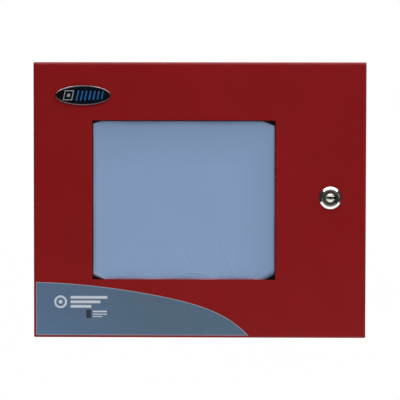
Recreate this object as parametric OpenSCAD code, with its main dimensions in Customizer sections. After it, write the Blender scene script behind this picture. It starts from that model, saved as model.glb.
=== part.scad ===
// Wall-mounted fire alarm control panel: a folded steel cabinet with a hinged,
// glazed and locked door over a display unit, boards, a power supply and batteries.
// +X runs to the right, +Z up and -Y out of the wall. The origin is the middle of
// the cabinet's back face.

/* [Door] */
// Width of the door
door_w = 330; // [318:1:420]
// Height of the door
door_h = 273.6; // [270:0.2:360]
// Depth from the wall to the face of the door
overall_d = 95; // [93:1:130]
// Depth of the skirt folded round the door
skirt_d = 13; // [12:0.5:14]
// Outer radius of the folds round the face
fold_r = 2.2; // [1.6:0.1:3]
// Radius of the door's four corners, seen from the front
corner_r = 1.8; // [1:0.1:4]
// Thickness of all the sheet steel
sheet_t = 1.2; // [1:0.1:1.6]

/* [Cabinet] */
// How far the door stands out past the cabinet at each side
side_overhang = 1.5; // [1.5:0.1:3]
// How far the door stands out past the cabinet at the top and bottom
end_overhang = 1.8; // [1.6:0.1:3]
// Gap between the door's skirt and the cabinet's front
door_gap = 2; // [1.5:0.1:3]
// Width of the lip folded inwards round the cabinet's front
lip_w = 12; // [10:0.5:14]
// Radius of the holes for the wall screws
wall_hole_r = 2.75; // [2:0.05:3.25]
// Distance of the wall holes from the cabinet's sides
wall_hole_in = 25; // [20:1:30]
// Distance of the wall holes from the cabinet's top and bottom
wall_hole_down = 19; // [16:1:24]
// Radius of the conduit entry and of the knockouts
entry_r = 11.1; // [10:0.1:14]

/* [Hinge] */
// Number of knuckles on the two leaves together
knuckles = 11; // [5:2:15]
// Pitch of the knuckles along the pin
knuckle_pitch = 22; // [12:1:22]
// Outer radius of a knuckle
knuckle_r = 2.5; // [2.2:0.1:2.6]
// Radius of the hinge pin
pin_r = 1.2; // [1:0.05:1.3]
// Running clearance round the pin
pin_fit = 0.05; // [0.02:0.01:0.1]
// Thickness of the hinge leaves
leaf_t = 0.9; // [0.8:0.1:1]
// Width of each leaf past the knuckles
leaf_w = 9; // [7:0.5:9.5]

/* [Window] */
// Width of the window cut in the door
window_w = 181.6; // [150:0.2:185]
// Height of the window cut in the door
window_h = 158.2; // [140:0.2:165]
// Distance from the door's left edge to the window
window_left = 58.5; // [52:0.1:60]
// Height of the window's middle above the door's middle
window_up = 0.2; // [-3:0.1:3]
// How far the lens runs past the window on every side
lens_lap = 12; // [10:0.5:13]
// Thickness of the clear lens
lens_t = 2; // [1.5:0.1:2.5]
// Thickness of the foam gasket in front of the lens
gasket_t = 1.7; // [1:0.1:2.5]
// Thickness of the protective film on the lens
film_t = 0.3; // [0.2:0.05:0.5]
// Gap between the film and the window's edge
film_gap = 0.8; // [0.4:0.1:2]

/* [Badge and label] */
// Half the length of the oval badge
badge_a = 27.5; // [20:0.1:32]
// Half the height of the oval badge
badge_b = 9.9; // [8:0.1:14]
// Distance from the door's left edge to the badge's middle
badge_in = 49.4; // [36:0.1:60]
// Distance from the door's top edge to the badge's middle
badge_down = 32.9; // [20:0.1:40]
// Length of the corner label
label_w = 211.2; // [150:0.2:215]
// Height of the corner label at its left edge
label_h = 52.8; // [40:0.2:54]
// Distance from the label to the door's left and bottom edges
label_in = 2.4; // [2:0.1:6]
// Thickness of the corner label
label_t = 0.35; // [0.2:0.05:0.6]

/* [Lock] */
// Distance from the door's right edge to the lock
lock_in = 35.6; // [30:0.1:38]
// Height of the lock above the door's middle
lock_up = 2.7; // [-40:0.1:40]
// Radius of the lock's head
lock_head_r = 11.2; // [10.5:0.1:13]
// Radius of the threaded barrel
barrel_r = 9.5; // [9:0.1:10]
// Width across the barrel's flats
barrel_flats = 16; // [15:0.1:17]
// Radius of the turning plug inside the barrel
plug_r = 6; // [5.5:0.1:6.2]
// Running clearance round the plug
plug_fit = 0.05; // [0.03:0.01:0.1]
// Reach of the cam from the lock's centre
cam_reach = 27; // [25.5:0.1:30]
// Width of the cam
cam_w = 12; // [10:0.5:13]
// Thickness of the cam
cam_t = 2.5; // [2:0.1:3]
// Clearance between the cam and the back of the lip
cam_gap = 0.5; // [0.35:0.05:0.8]

/* [Display unit] */
// Width of the display unit's front panel
panel_w = 204; // [200:1:206]
// Height of the display unit's front panel
panel_h = 176; // [170:1:180]
// Thickness of the front panel
panel_t = 1.6; // [1.2:0.1:2]
// Gap between the front panel and the display board
panel_gap = 8; // [8:0.5:9]
// Width of the display board
display_board_w = 178; // [176:1:180]
// Height of the display board
display_board_h = 146; // [144:1:150]
// Width of the display's frame
lcd_w = 118; // [116:1:122]
// Height of the display's frame
lcd_h = 44; // [40:1:46]
// Radius of an indicator lamp
led_r = 1.5; // [1.5:0.1:1.8]
// Width of a function button
button_w = 26; // [18:1:28]
// Height of a function button
button_h = 14; // [10:1:15]
// Width and height of a menu key
key_w = 14; // [10:1:15]
// How far the buttons stand out of the panel
button_proud = 2.2; // [1.5:0.1:2.4]
// Travel of the buttons
button_travel = 1; // [0.6:0.1:1]
// Clearance between a button and its hole
button_gap = 0.4; // [0.3:0.05:0.6]

/* [Boards] */
// Width of the main board
main_w = 196; // [190:1:200]
// Height of the main board
main_h = 166; // [160:1:166]
// Thickness of both boards
board_t = 1.6; // [1.2:0.1:2]
// Height of the standoffs under the main board
standoff_h = 10; // [8:0.5:12]
// Number of terminal blocks
block_count = 5; // [3:1:5]
// Number of ways in each terminal block
block_ways = 7; // [4:1:7]
// Pitch of the ways in a terminal block
way_pitch = 5; // [4:0.1:5]

/* [Power] */
// Width of the power supply's cage
cage_w = 92; // [80:1:94]
// Depth of the power supply's cage
cage_d = 54; // [46:1:60]
// Height of the power supply's cage
cage_h = 124; // [100:1:126]
// Length of each battery
battery_l = 134; // [120:1:136]
// Depth of each battery, front to back
battery_d = 67; // [60:1:67]
// Height of each battery without its tabs
battery_h = 60; // [50:1:62]
// Gap between the two batteries
battery_gap = 4.8; // [4:0.1:8]

/* [Hidden] */
round_fn = 48;

// Door and cabinet
face_y = -overall_d;
door_in_y = face_y + sheet_t;
box_y = face_y + skirt_d + door_gap;
box_w = door_w - 2 * side_overhang;
box_h = door_h - 2 * end_overhang;
inner_x = box_w / 2 - sheet_t;
inner_z = box_h / 2 - sheet_t;
left_x = -door_w / 2;
right_x = door_w / 2;
back_r = 1.6;
wall_hole_x = box_w / 2 - wall_hole_in;
wall_hole_z = box_h / 2 - wall_hole_down;
knockout_y = -36;
knockout_groove = 0.8;
knockout_depth = 0.6;
knockout_xs = [-120, -76, -32];
knockout_zs = [-40, 40];

// Hinge
hinge_x = left_x + knuckle_r;
hinge_out = 0.5;
hinge_y = box_y - hinge_out;
hinge_clear = 0.5;
hinge_edge = knuckle_r + hinge_clear;
hinge_len = knuckles * knuckle_pitch;
knuckle_gap = 0.4;
leaf_wall = 0.35;
leaf_root = pin_r + pin_fit + leaf_wall;
pin_head_r = 1.8;
pin_head_h = 0.6;

// Window
window_x = left_x + window_left + window_w / 2;
gasket_lap = 1;
lens_y = door_in_y + gasket_t;
retainer_t = 1;
retainer_y = lens_y + lens_t;
retainer_w = 8;
stud_out = lens_lap + 4;
lens_stud_r = 1.5;
lens_nut_t = 2.4;
lens_nut_flats = 5.5;
stud_past_nut = 0.5;
film_cuts = [[13, 8], [12, 6], [8, 3], [12, 6]];

// Badge and label
badge_x = left_x + badge_in;
badge_z = door_h / 2 - badge_down;
badge_rim = 2;
badge_t = 1.6;
badge_dome = 1.3;
badge_fit = 0.15;
label_share = 0.635;
label_slope = 1.7;
label_bend = 8.8;
label_steps = 28;

// Lock
lock_x = right_x - lock_in;
lock_z = lock_up;
head_t = 3.2;
head_bevel = 2.6;
head_rim_t = 1.2;
face_r = 7.35;
face_in = 0.6;
face_t = 0.65;
boss_r = 4.3;
boss_t = 0.5;
slot_w = 9.2;
slot_h = 1.8;
slot_shift = 0.6;
slot_d = 2.6;
slot_pin_r = 1.25;
lip_back_y = box_y + sheet_t;
cam_front_y = lip_back_y + cam_gap;
barrel_rear_y = cam_front_y - 1.2;
lock_nut_t = 4;
lock_nut_flats = 24;
cam_square = 7;
cam_head_r = 8;
cam_screw_r = 2;
cam_screw_d = 8;
cam_screw_head_r = 6;
cam_screw_head_t = 2;

// Display unit, with everything placed from the middle of the window
bracket_y = box_y;
bracket_in = 6;
bracket_bar = 14;
panel_y = bracket_y - sheet_t;
panel_front_y = panel_y - panel_t;
display_y = panel_y + panel_gap;
display_shift = -4;
lcd_at = [-20, 46];
lcd_d = 7;
lcd_frame = 3;
lcd_glass_in = 0.6;
led_x = 62;
led_top = 68;
led_pitch = 9;
led_bend = 0.2;
button_z = -10;
button_xs = [-71, -37, -3, 31];
key_at = [[-20, -34], [-20, -58], [12, -46]];
button_flange = 1.2;
button_flange_t = 1;
panel_clear = 0.35;
button_foot = 2.2;
cap_rear_y = panel_y + panel_clear + button_flange_t + button_foot;
switch_w = 6;
switch_clear = 0.35;
switch_gap = button_travel + switch_clear;
sounder_at = [52, -46];
sounder_r = 7;
sounder_t = 5.5;
panel_screw_in = 4;
m4_r = 2;
m4_nut_flats = 7;
m4_nut_t = 3.2;
m3_r = 1.45;
m3_hole_r = 1.7;
m3_bore_r = 1.5;
m3_head_r = 2.8;
m3_head_t = 1.6;
m3_len = 6;
standoff_flats = 5.5;
bracket_stud_z = box_h / 2 - 7;
bracket_end_z = box_h / 2 - 3;

// Main board, placed from the cabinet's left side and middle
main_left = 11;
main_x = -inner_x + main_left + main_w / 2;
board_over_battery = 13.8;
main_bottom = -inner_z + battery_h + board_over_battery;
main_z = main_bottom + main_h / 2;
main_rear_y = -sheet_t - standoff_h;
main_y = main_rear_y - board_t;
board_hole_in = 4;
block_d = 13;
block_h = 12;
block_gap = 1;
block_down = 13;
block_w = block_ways * way_pitch;
way_screw_r = 1.6;
way_mouth = 3.4;
chip_list = [[-70, -20, 22, 22], [-32, -24, 14, 20], [-70, 14, 10, 18], [-50, 14, 10, 18],
  [4, 6, 16, 9], [60, -6, 18, 8], [60, 10, 18, 8], [-4, -52, 12, 9]];
chip_t = 2.4;
capacitor_list = [[30, -40], [44, -40], [58, -40], [72, -40]];
capacitor_r = 5.5;
capacitor_l = 18;
relay_xs = [-82, -58, -34, -10, 14];
relay_z = 50;
relay_size = [19, 16, 15];
fuse_xs = [44, 60, 76];
fuse_z = 47;
fuse_l = 20;
fuse_r = 2.5;
fuse_up = 6;
heatsink_at = [-64, -60];
heatsink_size = [52, 16, 22];
heatsink_fins = 9;
ribbon_x = main_x + 20;
ribbon_w = 26;
ribbon_t = 1.1;
ribbon_low_z = main_z - 53;
ribbon_high_z = window_up + 21.8;
socket_w = 32;
socket_d = 9;
socket_h = 7;
supply_plug = [14, 8, 10];
supply_plug_at = [main_x + 47, main_z - 69];

// Power supply, placed from the cabinet's right side
cage_right = 6;
cage_x = inner_x - cage_right - cage_w / 2;
cage_over_board = 2;
cage_z = main_bottom + cage_over_board + cage_h / 2;
cage_slots = 9;
cage_slot_w = 3;
cage_slot_l = 40;
core_size = [58, 38, 50];
coil_size = [40, 46, 32];
core_down = 24;
mains_ways = 3;
mains_pitch = 14;
mains_d = 20;
mains_h = 18;
mains_over_cage = 24;
mains_z = cage_z + cage_h / 2 + mains_over_cage;

// Batteries, resting on the cabinet's floor
battery_back = 7;
battery_x = (battery_l + battery_gap) / 2;
battery_z = -inner_z + battery_h / 2;
battery_y = -battery_back;
tab_in = 14;
tab_x = battery_gap / 2 + tab_in;
tab_deep = 11;
tab_rear_y = battery_y - tab_deep;
tab_front_y = battery_y - battery_d + tab_deep;
tab_w = 6.3;
tab_t = 0.8;
tab_h = 6;
tab_top_z = -inner_z + battery_h + tab_h;
holder_top = 44;
holder_h = 30;
holder_foot = 13;
holder_w = 52;
holder_gap = 0.6;

// Routes of the leads, in round numbers
lead_r = 1.3;
bond_r = 1.5;
bond_down = 21;
bond_in = 30;
bond_right = 15;
bond_z = inner_z - bond_down;
bond_stud_y = box_y + bond_in;
bond_stud_x = left_x + bond_right;
lead_straight = [0, 0, 3];
wire_pitch = 6;
plug_foot = [supply_plug_at.x, main_y - supply_plug.y / 2, supply_plug_at.y - supply_plug.z / 2];
red_start = [-tab_x, tab_rear_y, tab_top_z];
red_end = plug_foot - [wire_pitch / 2, 0, 0];
red_route = [red_start, red_start + lead_straight, red_start + [-1, -5, 9],
  red_end + [-3, -5, -8], red_end - lead_straight, red_end];
black_start = [tab_x, tab_rear_y, tab_top_z];
black_end = plug_foot + [wire_pitch / 2, 0, 0];
black_bow = (black_start.x - black_end.x) / 5;
black_route = [black_start, black_start + lead_straight, black_start + [-3, -black_bow, 9],
  black_end + [7, -black_bow - 1, -7], black_end - lead_straight, black_end];
link_start = [-tab_x, tab_front_y, tab_top_z];
link_end = [tab_x, tab_front_y, tab_top_z];
link_route = [link_start, link_start + lead_straight, link_start + [5, 0, 8],
  link_end + [-5, 0, 8], link_end + lead_straight, link_end];
bond_start = [-inner_x + m4_nut_t + 1.8, bond_stud_y, bond_z - m4_r - 0.05];
bond_end = [bond_stud_x, door_in_y + 4, bond_z - lens_stud_r - 0.35];
bond_route = [bond_start, bond_start + [0.3, -1, -6], bond_start + [1.2, -6, -18],
  bond_start + [2.5, -14, -27], bond_end + [-3, 16, -28], bond_end + [-1.5, 6, -18],
  bond_end + [0, 1, -6], bond_end];

// Helpers
// A box, placed by the middle of its rear face and reaching forward
module block(at, size) {
  translate([at.x - size.x / 2, at.y - size.y, at.z - size.z / 2])
    cube(size);
}

// A round bar, placed by its rear end and reaching forward
module rod(at, r, length) {
  translate(at)
    rotate([90, 0, 0])
      cylinder(r = r, h = length, $fn = round_fn);
}

// A six-sided bar, placed by its rear end and reaching forward
module hex_rod(at, flats, length) {
  translate(at)
    rotate([90, 0, 0])
      cylinder(r = flats / sqrt(3), h = length, $fn = 6);
}

// A flat outline drawn in X and Z, thickened forward from its rear face
module plate(rear_y, thickness) {
  translate([0, rear_y, 0])
    rotate([90, 0, 0])
      linear_extrude(height = thickness)
        children();
}

// A rectangle with round corners
module rounded_rect(w, h, r) {
  square([w - 2 * r, h], center = true);
  square([w, h - 2 * r], center = true);
  for (sx = [-1, 1], sz = [-1, 1])
    translate([sx * (w / 2 - r), sz * (h / 2 - r)])
      circle(r = r, $fn = round_fn);
}

// Section of a folded pan: its face at 0, both folds round, open end at depth
module fold_outline(w, depth, r) {
  translate([-w / 2, r])
    square([w, depth - r]);
  translate([-w / 2 + r, 0])
    square([w - 2 * r, depth]);
  for (side = [-1, 1])
    translate([side * (w / 2 - r), r])
      circle(r = r, $fn = round_fn);
}

// A closed block with round folds on all four edges of its face
module pan_block(w, h, depth, r) {
  intersection() {
    translate([0, 0, -h / 2])
      linear_extrude(height = h)
        fold_outline(w, depth, r);
    rotate([0, -90, 0])
      linear_extrude(height = w, center = true)
        fold_outline(h, depth, r);
  }
}

// Points on a smooth curve through the given points, with steps on each stretch
function curve_point(a, b, c, d, t) =
  0.5 * (2 * b + (c - a) * t + (2 * a - 5 * b + 4 * c - d) * t * t
  + (3 * b - a - 3 * c + d) * t * t * t);
function smooth_route(p, steps) = [
  for (i = [0 : len(p) - 2], s = [0 : steps - 1])
    curve_point(p[max(i - 1, 0)], p[i], p[i + 1], p[min(i + 2, len(p) - 1)], s / steps),
  p[len(p) - 1]
];
function unit(v) = v / norm(v);

// A round lead along a route, as rings square to it; side is never along the route
module lead(route, r, side, steps = 5) {
  line = smooth_route(route, steps);
  count = len(line);
  sides = 8;
  rings = [
    for (i = [0 : count - 1])
      let (along = unit(line[min(i + 1, count - 1)] - line[max(i - 1, 0)]))
      let (across = unit(cross(along, side)))
      let (up = cross(along, across))
      for (k = [0 : sides - 1])
        line[i] + r * (across * cos(360 * k / sides) + up * sin(360 * k / sides))
  ];
  walls = [
    for (i = [0 : count - 2], k = [0 : sides - 1])
      let (next = (k + 1) % sides)
      [i * sides + k, i * sides + next, (i + 1) * sides + next, (i + 1) * sides + k]
  ];
  start_cap = [for (k = [sides - 1 : -1 : 0]) k];
  end_cap = [for (k = [0 : sides - 1]) (count - 1) * sides + k];
  polyhedron(points = rings, faces = concat([start_cap], walls, [end_cap]), convexity = 6);
}

// Cabinet
// Studs and nuts for the display bracket, the battery bracket and the earth lead
bracket_stud_xs = [window_x - panel_w / 2 - 1, window_x + panel_w / 2 + 1];
holder_stud = [holder_foot - 5, -inner_z + holder_top - holder_h / 2];

module wall_knockout(r) {
  difference() {
    cylinder(r = r, h = knockout_depth, $fn = round_fn);
    translate([0, 0, -1])
      cylinder(r = r - knockout_groove, h = knockout_depth + 2, $fn = round_fn);
  }
}

module backbox() {
  color("firebrick")
    difference() {
      union() {
        difference() {
          mirror([0, 1, 0])
            pan_block(box_w, box_h, -box_y, back_r);
          translate([-inner_x, box_y + sheet_t, -inner_z])
            cube([2 * inner_x, -box_y - 2 * sheet_t, 2 * inner_z]);
          // Mouth of the cabinet, with a lip on three sides
          translate([-box_w, box_y - 1, -box_h / 2 + lip_w])
            cube([box_w + box_w / 2 - lip_w, sheet_t + 2, box_h - 2 * lip_w]);
          // The hinge side stops short behind the knuckles
          translate([left_x, box_y - 1, -box_h])
            cube([hinge_x - left_x + knuckle_r + 1, hinge_y + hinge_edge - box_y + 1, 2 * box_h]);
        }
        for (x = bracket_stud_xs, side = [-1, 1])
          rod([x, lip_back_y, side * bracket_stud_z], m4_r, sheet_t * 2 + m4_nut_t + stud_past_nut);
        rod([holder_stud.x, -sheet_t, holder_stud.y], m4_r, sheet_t + m4_nut_t);
        translate([-inner_x, bond_stud_y, bond_z])
          rotate([0, 90, 0])
            cylinder(r = m4_r, h = 9, $fn = round_fn);
      }
      for (sx = [-1, 1], sz = [-1, 1])
        rod([sx * wall_hole_x, 1, sz * wall_hole_z], wall_hole_r, sheet_t + 2);
      translate([cage_x, knockout_y, 0])
        cylinder(r = entry_r, h = box_h, $fn = round_fn);
      for (x = knockout_xs)
        translate([x, knockout_y, box_h / 2 - knockout_depth])
          wall_knockout(entry_r);
      for (z = knockout_zs, side = [-1, 1])
        translate([side * box_w / 2, knockout_y, z])
          rotate([0, -side * 90, 0])
            wall_knockout(entry_r);
    }
}

module hinge_knuckles(first) {
  for (i = [first : 2 : knuckles - 1])
    translate([hinge_x, hinge_y, -hinge_len / 2 + i * knuckle_pitch + knuckle_gap / 2])
      cylinder(r = knuckle_r, h = knuckle_pitch - knuckle_gap, $fn = round_fn);
}

// Short tongues that join a leaf to its own knuckles
module hinge_tongues(first, x, y, reach) {
  for (i = [first : 2 : knuckles - 1])
    translate([x, y, -hinge_len / 2 + i * knuckle_pitch + knuckle_gap / 2])
      cube([leaf_t, reach, knuckle_pitch - knuckle_gap]);
}

module hinge_bore() {
  translate([hinge_x, hinge_y, -hinge_len])
    cylinder(r = pin_r + pin_fit, h = 2 * hinge_len, $fn = round_fn);
}

module hinge_leaf_box() {
  clear = hinge_edge - 0.1;
  color("gray")
    difference() {
      union() {
        hinge_knuckles(0);
        hinge_tongues(0, -inner_x, hinge_y + leaf_root, clear - leaf_root + 0.5);
        translate([-inner_x, hinge_y + clear, -hinge_len / 2])
          cube([leaf_t, leaf_w, hinge_len]);
      }
      hinge_bore();
    }
}

module hinge_pin() {
  color("silver") {
    translate([hinge_x, hinge_y, -hinge_len / 2 - pin_head_h])
      cylinder(r = pin_r, h = hinge_len + 2 * pin_head_h, $fn = round_fn);
    for (z = [-hinge_len / 2 - pin_head_h + knuckle_gap / 2, hinge_len / 2 - knuckle_gap / 2])
      translate([hinge_x, hinge_y, z])
        cylinder(r = pin_head_r, h = pin_head_h, $fn = round_fn);
  }
}

module box_nuts() {
  color("silver") {
    for (x = bracket_stud_xs, side = [-1, 1])
      difference() {
        hex_rod([x, panel_y, side * bracket_stud_z], m4_nut_flats, m4_nut_t);
        rod([x, panel_y + 1, side * bracket_stud_z], m4_r + 0.05, m4_nut_t + 2);
      }
    difference() {
      hex_rod([holder_stud.x, -2 * sheet_t, holder_stud.y], m4_nut_flats, m4_nut_t);
      rod([holder_stud.x, 0, holder_stud.y], m4_r + 0.05, m4_nut_t + 9);
    }
    translate([-inner_x, bond_stud_y, bond_z])
      rotate([0, 90, 0])
        difference() {
          cylinder(r = m4_nut_flats / sqrt(3), h = m4_nut_t, $fn = 6);
          translate([0, 0, -1])
            cylinder(r = m4_r + 0.05, h = m4_nut_t + 2, $fn = round_fn);
        }
  }
}

// Display unit
module place_display(at) {
  translate([window_x + at.x, window_up + at.y])
    children();
}

module display_bracket() {
  bar_x = panel_w / 2 + 1;
  color("lightgray")
    plate(bracket_y, sheet_t)
      difference() {
        union() {
          for (x = bracket_stud_xs)
            translate([x - bracket_bar / 2, -bracket_end_z])
              square([bracket_bar, 2 * bracket_end_z]);
          for (side = [-1, 1])
            translate([window_x, window_up + side * (panel_h / 2 - bracket_in)])
              square([2 * bar_x, 2 * bracket_in], center = true);
        }
        for (x = bracket_stud_xs, side = [-1, 1])
          translate([x, side * bracket_stud_z])
            circle(r = m4_r + 0.3, $fn = round_fn);
        for (sx = [-1, 1], sz = [-1, 1])
          place_display([sx * (panel_w / 2 - panel_screw_in), sz * (panel_h / 2 - panel_screw_in)])
            circle(r = m3_hole_r, $fn = round_fn);
      }
}

module display_panel() {
  color([0.13, 0.14, 0.16])
    plate(panel_y, panel_t)
      difference() {
        place_display([0, 0])
          rounded_rect(panel_w, panel_h, 3);
        place_display(lcd_at)
          square([lcd_w - 2 * lcd_frame, lcd_h - 2 * lcd_frame], center = true);
        for (i = [0 : 7])
          place_display([led_x, led_top - i * led_pitch])
            circle(r = led_r + led_bend, $fn = round_fn);
        for (x = button_xs)
          place_display([x, button_z])
            rounded_rect(button_w + 2 * button_gap, button_h + 2 * button_gap, 2);
        for (at = key_at)
          place_display(at)
            rounded_rect(key_w + 2 * button_gap, key_w + 2 * button_gap, 2);
        for (i = [0 : 5])
          place_display(sounder_at + 3.6 * [cos(60 * i), sin(60 * i)])
            circle(r = 1, $fn = round_fn);
        place_display(sounder_at)
          circle(r = 1, $fn = round_fn);
        for (sx = [-1, 1], sz = [-1, 1])
          place_display([sx * (panel_w / 2 - panel_screw_in), sz * (panel_h / 2 - panel_screw_in)])
            circle(r = m3_hole_r, $fn = round_fn);
      }
}

function on_display(at, y) = [window_x + at.x, y, window_up + at.y];

module lcd_bezel() {
  color("dimgray")
    difference() {
      block(on_display(lcd_at, display_y), [lcd_w, lcd_d, lcd_h]);
      block(on_display(lcd_at, display_y - 2.5),
        [lcd_w - 2 * lcd_frame, lcd_d, lcd_h - 2 * lcd_frame]);
    }
}

module lcd_glass() {
  front_y = display_y - lcd_d + lcd_glass_in;
  color("olivedrab")
    block(on_display(lcd_at, display_y - 2.5),
      [lcd_w - 2 * lcd_frame, display_y - 2.5 - front_y, lcd_h - 2 * lcd_frame]);
}

display_corners = [for (sx = [-1, 1], sz = [-1, 1])
  [display_shift + sx * (display_board_w / 2 - board_hole_in),
    sz * (display_board_h / 2 - board_hole_in)]];

module display_board() {
  color("darkgreen")
    plate(display_y + board_t, board_t)
      difference() {
        place_display([display_shift, 0])
          square([display_board_w, display_board_h], center = true);
        for (at = display_corners)
          place_display(at)
            circle(r = m3_hole_r, $fn = round_fn);
      }
}

// One indicator lamp: a collar, a body and a round nose
module led(at) {
  length = display_y - panel_front_y + 0.3;
  translate(on_display(at, display_y))
    rotate([90, 0, 0])
      rotate_extrude($fn = round_fn)
        union() {
          square([led_r + 0.3, 1]);
          square([led_r, length]);
          intersection() {
            translate([0, length])
              circle(r = led_r, $fn = round_fn);
            translate([0, length - 1])
              square([led_r, led_r + 1]);
          }
        }
}

module leds_red() {
  color("red")
    for (i = [0, 1])
      led([led_x, led_top - i * led_pitch]);
}

module leds_yellow() {
  color("gold")
    for (i = [2 : 6])
      led([led_x, led_top - i * led_pitch]);
}

module leds_green() {
  color("limegreen")
    led([led_x, led_top - 7 * led_pitch]);
}

module sounder() {
  color([0.1, 0.1, 0.1])
    difference() {
      rod(on_display(sounder_at, display_y), sounder_r, sounder_t);
      rod(on_display(sounder_at, display_y - sounder_t + 1), 1.2, 2);
    }
}

// A switch under each button, short enough to leave the button its travel
module button_switches() {
  switch_t = display_y - cap_rear_y - switch_gap;
  color([0.18, 0.18, 0.18])
    for (at = concat([for (x = button_xs) [x, button_z]], key_at)) {
      block(on_display(at, display_y), [switch_w, switch_t - 0.6, switch_w]);
      rod(on_display(at, display_y - switch_t + 1), 1.7, 1);
    }
}

// A button: its cap in the panel's hole and a flange behind the panel
module button_cap(at, w, h) {
  cap_front_y = panel_front_y - button_proud;
  flange_front_y = panel_y + panel_clear;
  translate([window_x + at.x, 0, window_up + at.y]) {
    plate(cap_rear_y, cap_rear_y - cap_front_y)
      rounded_rect(w, h, 1.6);
    block([0, flange_front_y + button_flange_t, 0],
      [w + 2 * button_flange, button_flange_t, h + 2 * button_flange]);
  }
}

module ack_button() {
  color("gainsboro")
    button_cap([button_xs[0], button_z], button_w, button_h);
}

module silence_button() {
  color("gainsboro")
    button_cap([button_xs[1], button_z], button_w, button_h);
}

module reset_button() {
  color("gainsboro")
    button_cap([button_xs[2], button_z], button_w, button_h);
}

module drill_button() {
  color("firebrick")
    button_cap([button_xs[3], button_z], button_w, button_h);
}

module up_key() {
  color("gainsboro")
    button_cap(key_at[0], key_w, key_w);
}

module down_key() {
  color("gainsboro")
    button_cap(key_at[1], key_w, key_w);
}

module enter_key() {
  color("gainsboro")
    button_cap(key_at[2], key_w, key_w);
}

// Fixings of both boards
main_holes = [for (sx = [-1, 0, 1], sz = [-1, 1])
  [main_x + sx * (main_w / 2 - board_hole_in), main_z + sz * (main_h / 2 - board_hole_in)]];

module standoffs() {
  color("silver") {
    for (at = main_holes)
      difference() {
        hex_rod([at.x, -sheet_t, at.y], standoff_flats, standoff_h);
        rod([at.x, -sheet_t - 2, at.y], m3_bore_r, standoff_h);
      }
    for (at = display_corners)
      difference() {
        hex_rod(on_display(at, display_y), standoff_flats, panel_gap);
        rod(on_display(at, display_y + 1), m3_bore_r, panel_gap);
      }
  }
}

// A pan-head screw; its head is on the front, or on the back when turned round
module m3_screw(at, turned = 1) {
  translate(at)
    rotate([turned * 90, 0, 0]) {
      cylinder(r = m3_head_r, h = m3_head_t, $fn = round_fn);
      translate([0, 0, -m3_len])
        cylinder(r = m3_r, h = m3_len + 0.1, $fn = round_fn);
    }
}

module board_screws() {
  color("silver") {
    for (at = main_holes)
      m3_screw([at.x, main_y, at.y]);
    for (at = display_corners)
      m3_screw(on_display(at, display_y + board_t), -1);
    for (sx = [-1, 1], sz = [-1, 1])
      m3_screw(on_display([sx * (panel_w / 2 - panel_screw_in), sz * (panel_h / 2 - panel_screw_in)],
        panel_front_y));
  }
}

module plug_sockets() {
  color([0.16, 0.16, 0.18]) {
    block([ribbon_x, main_y, ribbon_low_z], [socket_w, socket_d, socket_h]);
    block([ribbon_x, display_y + board_t + socket_d, ribbon_high_z], [socket_w, socket_d, socket_h]);
    block([supply_plug_at.x, main_y, supply_plug_at.y], [supply_plug.x, supply_plug.y, supply_plug.z]);
  }
}

// The ribbon leaves one socket forward, crosses in an S and enters the other
function ribbon_line(steps) = [
  for (i = [0 : steps])
    let (t = i / steps)
    [main_y - socket_d + t * (display_y + board_t + 2 * socket_d - main_y),
      ribbon_low_z + (ribbon_high_z - ribbon_low_z) * (t - sin(360 * t) / 6.2832)]
];

module ribbon_cable() {
  line = ribbon_line(20);
  color("lightslategray")
    translate([ribbon_x - ribbon_w / 2, 0, 0])
      rotate([90, 0, 90])
        linear_extrude(height = ribbon_w)
          polygon(concat(
            [for (p = line) p + [0, ribbon_t / 2]],
            [for (i = [len(line) - 1 : -1 : 0]) line[i] - [0, ribbon_t / 2]]));
}

// Main board and what is on it
module main_board() {
  color("darkgreen")
    plate(main_rear_y, board_t)
      difference() {
        translate([main_x, main_z])
          square([main_w, main_h], center = true);
        for (at = main_holes)
          translate(at)
            circle(r = m3_hole_r, $fn = round_fn);
      }
}

function on_main(x, z) = [main_x + x, main_y, main_z + z];
row_w = block_count * block_w + (block_count - 1) * block_gap;
block_z = main_z + main_h / 2 - block_down;
block_xs = [for (i = [0 : block_count - 1])
  main_x - row_w / 2 + block_w / 2 + i * (block_w + block_gap)];

module terminal_blocks() {
  color("seagreen")
    for (x = block_xs)
      difference() {
        block([x, main_y, block_z], [block_w, block_d, block_h]);
        // Step over the wire mouths, a screw well and a mouth for each way
        block([x, main_y - block_d + 4, block_z + block_h / 2], [block_w + 2, 9, 5]);
        for (i = [0 : block_ways - 1]) {
          way_x = x + (i - (block_ways - 1) / 2) * way_pitch;
          rod([way_x, main_y - block_d + 2.5, block_z - 2], way_screw_r + 0.3, 5);
          translate([way_x - way_mouth / 2, main_y - 6.5, block_z + block_h / 2 - 4])
            cube([way_mouth, way_mouth, 9]);
        }
      }
}

module terminal_screws() {
  color("silver")
    for (x = block_xs, i = [0 : block_ways - 1]) {
      way_x = x + (i - (block_ways - 1) / 2) * way_pitch;
      difference() {
        rod([way_x, main_y - block_d + 2.5, block_z - 2], way_screw_r, 1.6);
        block([way_x, main_y - block_d + 1.5, block_z - 2], [0.6, 3, 5]);
      }
    }
}

module board_chips() {
  color([0.12, 0.12, 0.13])
    for (c = chip_list)
      block(on_main(c[0], c[1]), [c[2], chip_t, c[3]]);
}

module capacitors() {
  color("midnightblue")
    for (c = capacitor_list)
      translate(on_main(c.x, c.y))
        rotate([90, 0, 0])
          rotate_extrude($fn = round_fn)
            difference() {
              square([capacitor_r, capacitor_l]);
              translate([capacitor_r, 3])
                circle(r = 0.5, $fn = 16);
              translate([-1, capacitor_l - 0.3])
                square([capacitor_r - 0.3, 1]);
            }
}

module relays() {
  color("darkorange")
    for (x = relay_xs)
      block(on_main(x, relay_z), relay_size);
}

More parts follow.
